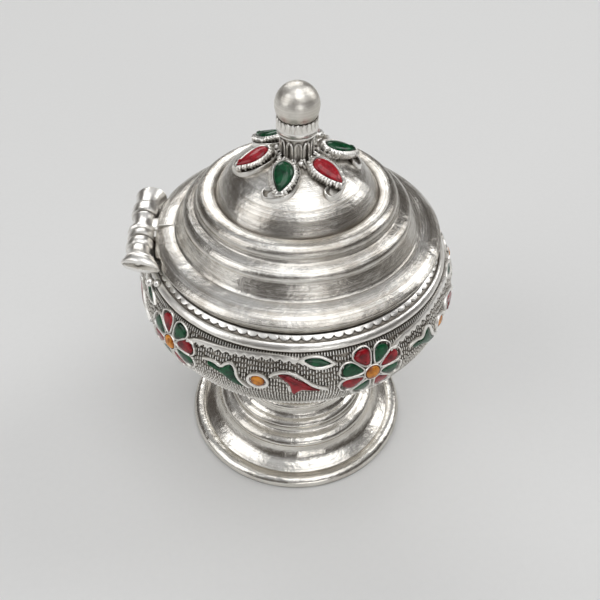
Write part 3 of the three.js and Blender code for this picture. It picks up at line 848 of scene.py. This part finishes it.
# %% Upright strokes and the matted ground
STROKE_COLUMNS = 372
STROKE_ROWS = 14
STROKE_CORNERS = 8
STROKE_TOP = (0.5, 0.72)  # the width and length of a stroke's top, as shares of its foot
TOP_STROKE_HEIGHT = 40.2
COLUMN_PLAY, STROKE_PLAY = 0.22, 0.12  # how far a column and each of its strokes stray up or down
STROKE_SWING = 0.002  # how far a stroke strays to the side, as an angle


def stroke(place, v, width, length, height):
    """One punch stroke: a box whose top is drawn in to a ridge."""
    bpy.ops.object.select_all(action="DESELECT")
    bpy.ops.mesh.primitive_cube_add(size=1)
    piece = bpy.context.object
    for vertex in piece.data.vertices:
        top = vertex.co.z > 0
        wide, long = STROKE_TOP if top else (1, 1)
        u, along = vertex.co.x * width * wide, v + vertex.co.y * length * long
        vertex.co = [c * MM for c in place(u, along, height if top else -0.05)]
    return piece


stroke_place = on_bowl(0, TOP_STROKE_HEIGHT)
row_pitch = (bowl_along(TOP_STROKE_HEIGHT) - bowl_along(GROUND_BOTTOM + 0.3)) / (STROKE_ROWS - 1)
column = [stroke(stroke_place, 0.95, 0.26, 0.8, 0.34)]
column += [stroke(stroke_place, -row * row_pitch, 0.29, row_pitch * 0.84, 0.27) for row in range(STROKE_ROWS)]
strokes = arrayed(joined("ground_strokes", column), STROKE_COLUMNS)

chance = random.Random(7)
corners = strokes.data.vertices
for first in range(0, len(corners), STROKE_CORNERS):
    in_column = (first // STROKE_CORNERS) % (STROKE_ROWS + 1)
    if in_column == 0:
        column_shift = chance.uniform(-COLUMN_PLAY, COLUMN_PLAY)
        continue
    low = corners[first].co.z / MM
    (r0, z0), (r1, z1) = bowl_point(bowl_along(low) - 0.1), bowl_point(bowl_along(low) + 0.1)
    shift = column_shift + chance.uniform(-STROKE_PLAY, STROKE_PLAY)
    slide = (r1 - r0) / 0.2 * shift * MM, (z1 - z0) / 0.2 * shift * MM
    swing = chance.uniform(-STROKE_SWING, STROKE_SWING)
    for k in range(STROKE_CORNERS):
        vertex = corners[first + k]
        radius = math.hypot(vertex.co.x, vertex.co.y) + slide[0]
        angle = math.atan2(vertex.co.y, vertex.co.x) + swing
        vertex.co = (radius * math.cos(angle), radius * math.sin(angle), vertex.co.z + slide[1])
hand_over(strokes, WIRE_SILVER, "bowl", "silver")
print("strokes:", len(corners) // STROKE_CORNERS)

# %% Rope border under the ground
ROPE_TURNS = 232
STRAND_WIDTH, STRAND_LENGTH, STRAND_HEIGHT = 0.46, 0.95, 0.42
STRAND_TILT = 32  # degrees
STRAND_PROFILE = ((1, -0.1), (1, 0.15), (0.86, 0.55), (0.5, 0.9), (0.18, 1))  # shares of size and height


def strand(place):
    """One strand of the rope: a small oval button that lies aslant."""
    rings = []
    for share, rise in STRAND_PROFILE:
        points = oval(STRAND_WIDTH / 2 * share, STRAND_LENGTH / 2 * share, 6)
        rings.append(ring(place, turned_flat(points, STRAND_TILT), STRAND_HEIGHT * rise))
    return raised("rope", rings)


rope = arrayed(strand(on_bowl(0, LOWER_RING_HEIGHT)), ROPE_TURNS)
WIRE = oval(0.15, 0.2, 8, 0.06)
wires = [strip("wire", LOWER_RING_HEIGHT + side * 0.55, WIRE, 120) for side in (-1, 1)]
rope_border = joined("band_ring_lower_dressed", [rope, *wires])
hand_over(rope_border, WIRE_SILVER, "bowl", "bright_silver", "band_ring_lower")

# %% [markdown]
# ## The flowers
# Each of the five flowers has eight petals, red and green in turn, round an orange middle. A petal is a cell
# with a pillow of enamel. One petal is drawn pointing to the right and turned about the flower's middle.

# %% Flowers
PATTERN_AZIMUTH = -69  # degrees, where the repeated pattern starts
FLOWER_AZIMUTH = -68.5
FLOWER_HEIGHT = 36.9
PETAL_TURNS = (21, 61, 112, 157, 201, 246, 300, 342)
PETAL_SIDE = [
    (1.1, 0.0), (1.35, 0.45), (2.1, 0.9), (2.9, 1.26), (3.6, 1.42), (4.3, 1.24), (4.75, 0.76), (4.9, 0.0),
]
FILL_SIDE = [
    (1.4, 0.0), (1.65, 0.4), (2.3, 0.78), (2.95, 1.07), (3.5, 1.14), (3.95, 0.92), (4.2, 0.5), (4.3, 0.0),
]
FLOWER_STRETCH = 1.12  # a flower is a little wider than it is high


def both_sides(side):
    """A closed outline from its upper side, which starts and ends on the middle line."""
    upper = smooth(side, 3)
    lower = [(x, -y) for x, y in reversed(upper[1:-1])]
    return upper + lower


def petal_at(side, degrees):
    """A petal's closed outline, turned about the flower's middle and stretched with the flower."""
    return [(x * FLOWER_STRETCH, y) for x, y in turned_flat(both_sides(side), degrees)]


flower_place = on_bowl(FLOWER_AZIMUTH, FLOWER_HEIGHT)
petals = [petal_at(PETAL_SIDE, turn) for turn in PETAL_TURNS]
parts = [cell("petal_cell", flower_place, points, wall_width=0.3) for points in petals]
parts.append(cell("cup", flower_place, oval(1.4, 1.34, 32), wall_width=0.22, wall_top=0.72))
repeated(joined("flower", parts), "flower", WIRE_SILVER, "bright_silver", "flower")
floors = [recess("petal_floor", flower_place, points) for points in petals]
repeated(joined("flower_floor", floors), "flower_floor", GROUND_SILVER, "silver")

RED, PALE_RED = (RED_ENAMEL, "red_enamel"), (PALE_RED_ENAMEL, "red_enamel")
GREEN, ORANGE = (GREEN_ENAMEL, "green_enamel"), (ORANGE_ENAMEL, "orange_enamel")
for k, turn in enumerate(PETAL_TURNS):
    petal_fill = pillow("petal", flower_place, petal_at(FILL_SIDE, turn), height=0.26, reach=0.7)
    repeated(petal_fill, f"petal_{k + 1}", *(GREEN if k % 2 else RED))

eye = pillow("eye", flower_place, oval(1.12, 1.08, 32), edge=0.55, height=0.5, reach=1.05)
repeated(eye, "flower_centre", *ORANGE, "flower_centre")

# %% [markdown]
# ## Leaves, berries and stems
# Between two flowers there is a green lobed leaf, an orange berry, a red lobed leaf and a small green almond
# leaf. A scalloped stem runs over them from one flower to the almond leaf.

# %% Leaves and berries
LEAF_HEIGHT = 36.4
GREEN_LEAF = [
    (-2.95, 1.41), (-1.75, 1.24), (-0.91, 0.96), (-0.28, 1.54), (0.65, 2.07), (1.14, 1.68), (1.47, 0.69),
    (1.92, -0.15), (3.08, -1.06), (1.84, -1.35), (0.64, -0.83), (-0.43, -0.01), (-1.57, 0.66),
    (-2.42, 1.11),
]
GREEN_CELL = [
    (-4.1, 1.45), (-3.0, 1.92), (-1.79, 1.98), (-0.8, 1.66), (-0.31, 2.13), (0.6, 2.66), (1.3, 2.49),
    (1.78, 1.85), (1.98, 1.0), (2.42, 0.16), (3.2, -0.55), (4.0, -1.2), (3.2, -1.62), (1.84, -1.85),
    (0.4, -1.32), (-0.75, -0.45), (-1.85, 0.2), (-2.8, 0.66),
]
RED_LEAF = [
    (-2.46, 1.91), (-1.54, 1.98), (-0.7, 1.82), (0.28, 1.22), (1.4, 0.64), (2.53, -0.12), (3.55, -1.12),
    (2.55, -1.02), (1.55, -0.85), (0.78, -0.88), (0.29, -1.44), (-0.14, -1.92), (-0.42, -1.58),
    (-0.56, -0.83), (-0.69, -0.06), (-0.97, 0.53), (-1.67, 1.05),
]
RED_CELL = [
    (-3.9, 1.45), (-3.38, 2.11), (-2.54, 2.5), (-1.69, 2.68), (-0.56, 2.58), (0.56, 2.1), (1.68, 1.28),
    (2.81, 0.34), (3.95, -0.3), (4.9, -0.78), (4.0, -1.46), (2.6, -1.5), (1.6, -1.36), (1.05, -1.4),
    (0.6, -1.9), (-0.14, -2.42), (-0.8, -1.95), (-1.0, -0.95), (-1.15, -0.2), (-1.5, 0.3), (-2.2, 0.72),
    (-3.1, 1.0),
]
ALMOND = [
    (-2.16, 0.49), (-1.48, 0.85), (-0.46, 0.88), (0.55, 0.6), (1.82, -0.22), (0.93, -0.53), (-0.08, -0.62),
    (-1.08, -0.32), (-1.71, 0.09),
]
ALMOND_CELL = [
    (-2.95, 0.6), (-1.8, 1.22), (-0.44, 1.34), (0.86, 0.98), (2.6, -0.3), (1.5, -0.92), (0.34, -1.1),
    (-0.8, -0.86), (-1.98, -0.12),
]
BERRY = oval(1.02, 0.95, 28, 0.35)
BERRY_CELL = oval(1.7, 1.45, 36, 0.35)

LEAVES = [
    ("green_leaf", 24, LEAF_HEIGHT, GREEN_CELL, GREEN_LEAF, GREEN, 0.12),
    ("berry", 35, 36.5, BERRY_CELL, BERRY, ORANGE, 0.8),
    ("red_leaf", 47, LEAF_HEIGHT, RED_CELL, RED_LEAF, RED, 0.12),
    ("almond_leaf", 54.5, 40.0, ALMOND_CELL, ALMOND, GREEN, 0.8),
]
for name, turn, height, wall_points, fill_points, colour, lower_side in LEAVES:
    place = on_bowl(PATTERN_AZIMUTH + turn, height)
    per = 1 if name == "berry" else 3
    wall_line = smooth(wall_points, per, closed=True)
    walls = cell(f"{name}_cell", place, wall_line, wall_width=0.5, wall_top=0.66, lower_side=lower_side)
    repeated(walls, f"{name}_cell", WIRE_SILVER, "silver")
    repeated(recess("recess", place, wall_line), f"{name}_floor", GROUND_SILVER, "silver")
    leaf_fill = pillow(name, place, smooth(fill_points, per, closed=True), reach=0.6)
    repeated(leaf_fill, name, *colour, name)

# %% Scalloped stems
STEM = [
    (8, 38.9), (11, 39.6), (14, 39.95), (20, 40.25), (27, 40.5), (34, 40.75), (41, 40.8), (48.5, 40.45),
    (50, 40.35),
]
TOOTH_PITCH = 3.0  # degrees


def stem_section(turn, height):
    """The stem's cross-section. Its lower edge goes in and out, tooth by tooth."""
    tooth = 1 - abs(turn / TOOTH_PITCH % 1 - 0.5) * 2
    low = -0.26 - 0.52 * tooth
    section = [(low, -0.1), (low, 0.26), (low + 0.12, 0.44), (0.1, 0.54)]
    section += [(0.38, 0.46), (0.5, 0.26), (0.5, -0.1)]
    return [on_bowl(PATTERN_AZIMUTH + turn, height)(0, v, w) for v, w in section]


stem = raised("stem", [stem_section(turn, height) for turn, height in smooth(STEM, 14)])
repeated(stem, "stem", WIRE_SILVER, "silver")
print("ornament pieces so far:", len(MADE))

# %% [markdown]
# ## The lid
# From its edge the lid goes up over a broad flange, a cove, two rounded mouldings with a groove between
# them, and the dome. Under it a short ring drops into the mouth and keeps the lid in place.

# %% Lid shell and bezel
PARTING = 45.0  # the height at which the lid meets the bowl
UPPER_MOULDING = [(15.6, 6.25), (15.58, 6.8), (15.3, 7.3), (14.8, 7.68), (14.15, 7.86), (13.3, 7.84)]
UPPER_MOULDING += [(12.8, 7.68), (12.55, 7.5)]
DOME = [(12.55, 7.5), (12.3, 7.95), (11.8, 8.75), (11.0, 9.78), (10.0, 10.72), (9.0, 11.48), (8.0, 12.08)]
DOME += [(6.5, 12.74), (5.0, 13.2), (3.0, 13.58), (1.5, 13.74), (0, 13.8)]
LID_RUNS = [  # (radius, height over the parting)
    [(22.86, 0.0), (23.0, 0.14), (22.98, 0.3), (22.84, 0.44)],
    [(22.84, 0.44), (22.2, 0.92), (21.2, 1.36), (20.3, 1.6), (19.4, 1.72)],
    [(19.4, 1.72), (19.1, 2.0), (18.75, 2.6), (18.35, 3.3), (17.95, 3.95)],
    [(17.95, 3.95), (17.9, 4.45), (17.6, 4.95), (17.05, 5.35), (16.35, 5.6), (15.85, 5.8), (15.6, 6.25)],
    UPPER_MOULDING,
    DOME,
]
LID_SIDE = outline(*[[(r, PARTING + z) for r, z in run] for run in LID_RUNS])
LID_INSIDE = outline(
    [(17.8, 45.0), (17.8, 46.8)],
    [(17.8, 46.8), (17.2, 48.6), (16.1, 49.8), (14.9, 50.75), (13.4, 51.3), (11.9, 51.7)],
    [(11.9, 51.7), (11.1, 53.25), (9.5, 55.0), (6.2, 56.9), (2.9, 57.7), (0, 57.9)],
)
lid_shell = turned("lid_shell_dressed", [*reversed(LID_INSIDE), *LID_SIDE])

BEZEL = [(17.8, 42.6), (17.9, 42.5), (18.4, 42.5), (18.6, 42.75), (18.6, 44.7), (17.8, 44.7)]
lid_bezel = turned("lid_bezel_dressed", BEZEL)
hand_over(lid_bezel, SPUN_SILVER, "lid", "silver", "lid_bezel")
print("lid faces:", len(lid_shell.data.polygons))

# %% [markdown]
# ## The hinge
# The hinge is a row of three knuckles behind the lid. The two outer ones belong to the bowl and end in
# trumpets, and the middle one belongs to the lid. A knuckle is a row of rings round the hinge's axis. Each
# ring has its own radius, and near a trumpet's mouth it is flattened, moved towards the bowl and slanted.

# %% Helpers for the hinge
HINGE_X = -24.6
HINGE_Z = 45.0
STRAIGHT = (1, 0, 0, 0)  # the flatness, shift, slant and skew of a plain round ring


def knuckle(name, stations, steps=40):
    """Stations are (y, radius) from end to end. Some add a flatness, a shift towards the bowl, a slant of the
    ring, and a skew by which the side towards the bowl reaches further forward."""
    rings = []
    for y, radius, *bend in stations:
        flat, shift, slant, skew = (*bend, *STRAIGHT[len(bend) :])
        corners = []
        for i in range(steps):
            angle = math.tau * i / steps
            x = HINGE_X + shift + radius * math.cos(angle)
            reach = slant * math.sin(angle) - skew * math.cos(angle)
            corners.append((x, y + reach, HINGE_Z + flat * radius * math.sin(angle)))
        rings.append(corners)
    return raised(name, rings)


def rounded_box(name, low, high, width=0.25):
    """A box between two corners with its edges bevelled."""
    bpy.ops.object.select_all(action="DESELECT")
    bpy.ops.mesh.primitive_cube_add(size=1)
    piece = bpy.context.object
    piece.name = piece.data.name = name
    for vertex in piece.data.vertices:
        vertex.co = [(a + (c + 0.5) * (b - a)) * MM for a, b, c in zip(low, high, vertex.co)]
    bpy.ops.object.mode_set(mode="EDIT")
    bpy.ops.mesh.select_all(action="SELECT")
    bpy.ops.mesh.bevel(offset=width * MM, segments=2, affect="EDGES")
    bpy.ops.object.mode_set(mode="OBJECT")
    finish_shape()
    return piece


def ball(name, centre, radius, steps=16):
    rings = max(steps // 2, 6)
    turns = [math.pi * i / rings for i in range(rings + 1)]
    side = [(radius * math.sin(turn), -radius * math.cos(turn)) for turn in turns]
    side[0], side[-1] = (0, -radius), (0, radius)
    piece = turned(name, side, steps)
    piece.data.transform(Matrix.Translation([c * MM for c in centre]))
    return piece


# %% Knuckles, pin and shelf
FRONT_KNUCKLE = [
    (-3.3, 1.95), (-3.42, 2.12), (-3.8, 2.2), (-4.5, 2.2), (-4.9, 2.1), (-5.06, 1.9, 1, 0.02),
    (-5.9, 1.9, 0.97, 0.05), (-6.7, 2.08, 0.92, 0.15, -0.1, 0.1), (-7.15, 2.38, 0.88, 0.25, -0.2, 0.25),
    (-7.3, 2.46, 0.86, 0.27, -0.25, 0.3), (-7.42, 2.38, 0.84, 0.28, -0.28, 0.35),
    (-7.7, 2.68, 0.76, 0.34, -0.4, 0.5), (-8.05, 2.94, 0.66, 0.42, -0.5, 0.7),
    (-8.35, 3.0, 0.6, 0.45, -0.55, 0.82), (-8.55, 2.94, 0.55, 0.46, -0.55, 0.85),
    (-8.62, 2.8, 0.46, 0.46, -0.52, 0.85), (-8.52, 2.66, 0.36, 0.46, -0.45, 0.84),
    (-8.0, 2.4, 0.34, 0.42, -0.3, 0.65), (-7.55, 1.9, 0.36, 0.36, -0.2, 0.4),
]
BACK_KNUCKLE = [
    (3.3, 1.95), (3.42, 2.12), (3.8, 2.2), (5.2, 2.2), (5.75, 2.1), (5.95, 1.88, 1, 0.02),
    (6.8, 1.92, 0.97, 0.1), (7.8, 2.15, 0.92, 0.3, 0.1), (8.6, 2.42, 0.86, 0.5, 0.2),
    (8.95, 2.56, 0.84, 0.58, 0.24), (9.1, 2.52, 0.82, 0.58, 0.24), (9.12, 2.3, 0.78, 0.58, 0.24),
    (8.5, 2.05, 0.76, 0.5, 0.2), (7.6, 1.5, 0.8, 0.3, 0.1),
]
MIDDLE_KNUCKLE = [
    (-3.0, 1.9), (-2.88, 2.1), (-2.5, 2.19), (-1.5, 2.19), (-1.2, 2.0), (-1.05, 2.08), (-0.85, 2.28),
    (-0.5, 2.28), (-0.3, 2.08), (-0.18, 1.78), (0.6, 1.72), (2.4, 1.72), (2.8, 1.9), (3.0, 1.86),
]
# the room that the outer knuckles need in the lid, as (y, radius)
HINGE_ROOM = [(3.1, 2.45), (6.6, 2.45), (7.1, 2.9), (7.5, 3.3), (7.9, 3.6), (10, 3.65)]


def cut_lid_for_hinge():
    """Cuts the room of the outer knuckles out of the lid's flange with a Boolean modifier."""
    for side in (-1, 1):
        room = knuckle("hinge_room", [(side * y, radius) for y, radius in HINGE_ROOM], 48)
        cut = lid_shell.modifiers.new("hinge_room", "BOOLEAN")
        cut.operation = "DIFFERENCE"
        cut.object = room
        bpy.context.view_layer.objects.active = lid_shell
        bpy.ops.object.modifier_apply(modifier=cut.name)
        bpy.data.objects.remove(room)
    finish_shape()


cut_lid_for_hinge()
hand_over(lid_shell, SPUN_SILVER, "lid", "silver", "lid_shell")

front_knuckle = knuckle("front_knuckle", FRONT_KNUCKLE)
back_knuckle = knuckle("back_knuckle", BACK_KNUCKLE)
shelf = rounded_box("shelf", (-24.4, -7.2, 42.8), (-22.5, 7.2, 44.3))
stud = ball("stud", (-21.9, -9.6, 42.5), 0.62)
under = ball("under_knuckle", (-23.0, -9.3, 42.6), 0.75)
bowl_leaf = joined("hinge_leaf_bowl_dressed", [front_knuckle, back_knuckle, shelf, stud, under])
hand_over(bowl_leaf, WIRE_SILVER, "bowl", "silver", "hinge_leaf_bowl")

middle_knuckle = knuckle("middle_knuckle", MIDDLE_KNUCKLE)
tab = rounded_box("tab", (-23.4, -2.4, 45.05), (-21.85, 2.4, 45.85), 0.2)
nub = ball("nub", (-22.35, -0.5, 45.75), 0.5)
seam = rounded_box("seam", (-21.9, -0.78, 45.9), (-19.4, -0.6, 46.78), 0.05)
lid_leaf = joined("hinge_leaf_lid_dressed", [middle_knuckle, tab, nub, seam])
hand_over(lid_leaf, WIRE_SILVER, "lid", "silver", "hinge_leaf_lid")

PIN = [
    (-7.68, 0.3), (-7.66, 0.45), (-7.6, 0.55), (-7.5, 0.6), (7.5, 0.6), (7.6, 0.85), (7.72, 0.75),
    (7.75, 0.5),
]
hinge_pin = knuckle("hinge_pin_dressed", PIN, 20)
hand_over(hinge_pin, PIN_SILVER, "bowl", "silver", "hinge_pin")
print("hinge faces:", len(bowl_leaf.data.polygons) + len(lid_leaf.data.polygons))

# %% [markdown]
# ## The finial
# A short neck with a ring of small arches carries a cup, and the ball sits in the cup like a pearl. An arch
# and a prong of the cup are modelled once, and the Array modifier repeats them round the axis.

# %% Neck, cup and ball
CROWN = PARTING + 13.8  # the top of the dome
ARCHES = 12
PRONGS = 24


def wire_along(name, path, radius, steps):
    """A round wire along 3D points. The first and last points only give the direction of its ends."""
    rings = []
    for before, middle, after in zip(path, path[1:], path[2:]):
        forward = (Vector(after) - Vector(before)).normalized()
        out = Vector((middle[0], middle[1], 0)).normalized()
        side = forward.cross(out).normalized()
        out = side.cross(forward)
        angles = [math.tau * i / steps for i in range(steps)]
        rings.append([Vector(middle) + (out * math.cos(a) + side * math.sin(a)) * radius for a in angles])
    return raised(name, rings)


def dome_height(radius):
    """The height of the lid's surface at a distance from the axis."""
    for (r0, z0), (r1, z1) in zip(LID_SIDE, LID_SIDE[1:]):
        if r1 <= radius <= r0 and r0 > r1:
            return z1 + (z0 - z1) * (radius - r1) / (r0 - r1)
    return LID_SIDE[-1][1]


NECK = outline(
    [(0, CROWN - 0.2), (2.3, CROWN - 0.2)],
    [(2.3, CROWN - 0.2), (2.2, CROWN + 0.6), (2.18, CROWN + 1.6), (2.24, CROWN + 2.6), (2.35, CROWN + 3.2)],
    [(2.35, CROWN + 3.2), (0, CROWN + 3.3)],
)
neck = turned("neck_core", NECK, 64)
arch_path = [(-0.6, -1.5), (-0.58, -1.25), (-0.52, -0.8), (-0.46, -0.3), (-0.44, 0.3), (-0.42, 1.1)]
arch_path += [(-0.42, 1.9), (-0.34, 2.4), (-0.16, 2.72), (0, 2.8)]
arch_path += [(-u, rise) for u, rise in reversed(arch_path[:-1])]
arch_points = []
for u, rise in arch_path:
    spread = 2.42 + max(0.2 - rise, 0) * 1.25
    height = CROWN + rise if rise > 0.2 else max(dome_height(spread) + 0.12, CROWN + rise)
    arch_points.append((spread * math.cos(u / 2.5), spread * math.sin(u / 2.5), height))
arches = arrayed(wire_along("arches", arch_points, 0.2, 6), ARCHES)
inner_lumps = arrayed(ball("inner_lumps", (3.2, 0.3, dome_height(3.2) + 0.25), 0.5, 12), ARCHES)
outer_lumps = arrayed(ball("outer_lumps", (4.0, -0.5, dome_height(4.0) + 0.15), 0.44, 12), ARCHES)
finial_neck = joined("finial_neck_dressed", [neck, arches, inner_lumps, outer_lumps])
hand_over(finial_neck, WIRE_SILVER, "lid", "silver", "finial_neck")

BALL_RADIUS = 3.25
BALL_CENTRE = 66.537
CUP_SIDE = [
    (0, 62.25), (2.5, 62.25), (2.86, 62.3), (2.98, 62.42), (2.96, 62.56), (2.8, 62.66), (2.86, 62.78),
    (3.04, 62.88), (3.08, 63.04), (2.98, 63.2), (3.0, 63.4), (2.92, 63.9), (2.92, 64.4), (2.88, 64.68),
    (2.78, 64.72), (2.66, 64.62), (2.42, 64.25), (1.9, 63.75), (0, 63.1),
]
cup = turned("cup_wall", CUP_SIDE, 96)
PRONG_RINGS = ((0, -0.06), (0, 0.08), (0.1, 0.17))  # how far in, and how far out of the cup
PRONG = [(-0.24, -0.4), (0.24, -0.4), (0.33, 0.4), (0.26, 0.86), (0, 1.06), (-0.26, 0.86), (-0.33, 0.4)]


def on_cup(u, v, w):
    return 2.87 + w, u, 63.85 + v


prong = raised("prongs", [ring(on_cup, inset(PRONG, depth), out) for depth, out in PRONG_RINGS])
prongs = arrayed(prong, PRONGS)
finial_collar = joined("finial_collar_dressed", [cup, prongs])
hand_over(finial_collar, WIRE_SILVER, "lid", "silver", "finial_collar")

finial_ball = ball("finial_ball_dressed", (0, 0, BALL_CENTRE), BALL_RADIUS, 64)
hand_over(finial_ball, SATIN_SILVER, "lid", "bright_silver", "finial_ball")
print("finial faces:", len(neck.data.polygons) + len(cup.data.polygons))

# %% [markdown]
# ## The paisleys
# Six paisleys lie round the finial with their heads towards it. Each has a low curled wall on the dome, and a
# stone of enamel in a high fluted collar whose edge is nicked into small prongs. The stone and the top of its
# collar lie in a slanting plane, and the low wall follows the dome.

# %% Wrap flat drawings onto the dome
PAISLEYS = 6
PAISLEY_AZIMUTH = -111
PAISLEY_RADIUS = 6.23
PAISLEY_HEIGHT = 57.33
PAISLEY_SLOPE = math.radians(21.04)


def on_dome(u, v, w):
    """A flat point of a paisley, some way over the dome's surface."""
    along = -PAISLEY_RADIUS + v * math.cos(PAISLEY_SLOPE)
    return u, along, dome_height(math.hypot(u, along)) + w


def on_slant(u, v, w):
    """A flat point of a paisley, some way over its slanting plane."""
    c, s = math.cos(PAISLEY_SLOPE), math.sin(PAISLEY_SLOPE)
    return u, -PAISLEY_RADIUS + v * c - w * s, PAISLEY_HEIGHT + v * s + w * c


def evenly(points, count):
    """The same closed outline with evenly spaced points."""
    closed = points + points[:1]
    steps = [math.dist(a, b) for a, b in zip(closed, closed[1:])]
    total, spaced, k, run = sum(steps), [], 0, 0.0
    for i in range(count):
        goal = total * i / count
        while run + steps[k] < goal:
            run += steps[k]
            k += 1
        share = (goal - run) / steps[k]
        spaced.append(tuple(a + share * (b - a) for a, b in zip(closed[k], closed[k + 1])))
    return spaced


# %% Paisley mounts and stones
PAISLEY = [
    (0, 3.28), (-1.1, 3.0), (-1.85, 2.1), (-1.75, 0.7), (-1.35, -0.6), (-1.0, -1.4), (-1.5, -1.8),
    (-2.25, -2.0), (-2.55, -2.75), (-2.0, -3.45), (-0.75, -3.55), (0.9, -3.0), (1.95, -2.0), (2.3, -0.44),
    (2.12, 1.3), (1.3, 2.75),
]
STONE = [
    (-0.46, 2.71), (-1.14, 2.38), (-1.57, 1.64), (-1.56, 0.66), (-1.14, -0.56), (-0.56, -1.61),
    (0.26, -2.48), (0.82, -1.65), (1.28, -0.49), (1.34, 0.76), (0.96, 1.83), (0.3, 2.52),
]
FLUTES = 30
stone_outline = smooth(STONE, 5, closed=True)
flute_outline = evenly(stone_outline, 4 * FLUTES)
flute_inward = inward(flute_outline)
nudges = [chance.uniform(-1, 1) for _ in range(FLUTES)]


def fluted(depth, swing):
    """The stone's outline moved in by a depth, with flutes cut into it, each a little unlike the others."""
    flutes = (1, 0, -1, 0)
    moved = []
    for i, (point, direction) in enumerate(zip(flute_outline, flute_inward)):
        here = depth + swing * (flutes[i % 4] + nudges[i // 4] * 0.8)
        moved.append(tuple(Vector(point) + Vector(direction) * here))
    return moved


def nicked(high, low):
    """Heights that go up and down with the flutes."""
    levels = (low, (high + low) / 2, high, (high + low) / 2)
    return [levels[i % 4] + 0.07 * nudges[i // 4] for i in range(4 * FLUTES)]


collar_rings = [
    ring(on_dome, fluted(-0.36, 0.1), -0.2),
    ring(on_dome, fluted(-0.34, 0.14), 0.3),
    ring(on_slant, fluted(-0.4, 0.16), 0.75),
    ring(on_slant, fluted(-0.52, 0.18), nicked(1.05, 0.95)),
    ring(on_slant, fluted(-0.64, 0.14), nicked(1.26, 1.12)),
    ring(on_slant, fluted(-0.62, 0.1), nicked(1.46, 1.34)),
    ring(on_slant, fluted(-0.42, 0.05), nicked(1.68, 1.6)),
    ring(on_slant, fluted(-0.16, 0.0), 1.76),
    ring(on_slant, fluted(-0.03, 0.0), 1.66),
    ring(on_slant, fluted(0.02, 0.0), 1.3),
]
collar = raised("collar", collar_rings)
wall_line = smooth(PAISLEY, 4, closed=True)
low_wall = cell("low_wall", on_dome, wall_line, wall_width=0.24, wall_top=0.72)
low_floor = recess("low_floor", on_dome, wall_line, 0.24)
mount = joined("paisley_mount", [collar, low_wall])
stone = pillow("paisley_stone", on_slant, stone_outline, base=1.1, edge=1.54, height=0.62, reach=1.3)
for number in range(1, PAISLEYS + 1):
    turn = PAISLEY_AZIMUTH + 90 + 360 / PAISLEYS * (number - 1)
    copy = turned_copy(mount, f"paisley_mount_{number}_dressed", turn)
    hand_over(copy, WIRE_SILVER, "lid", "silver", f"paisley_mount_{number}")
    copy = turned_copy(low_floor, f"paisley_floor_{number}", turn)
    hand_over(copy, GROUND_SILVER, "lid", "silver")
    copy = turned_copy(stone, f"paisley_stone_{number}_dressed", turn)
    material, slot = GREEN if number % 2 else PALE_RED
    hand_over(copy, material, "lid", slot, f"paisley_stone_{number}")
for pattern in (mount, low_floor, stone):
    bpy.data.objects.remove(pattern)
print("paisleys:", PAISLEYS)

# %% Count the pieces made
print("pieces made:", len(MADE))
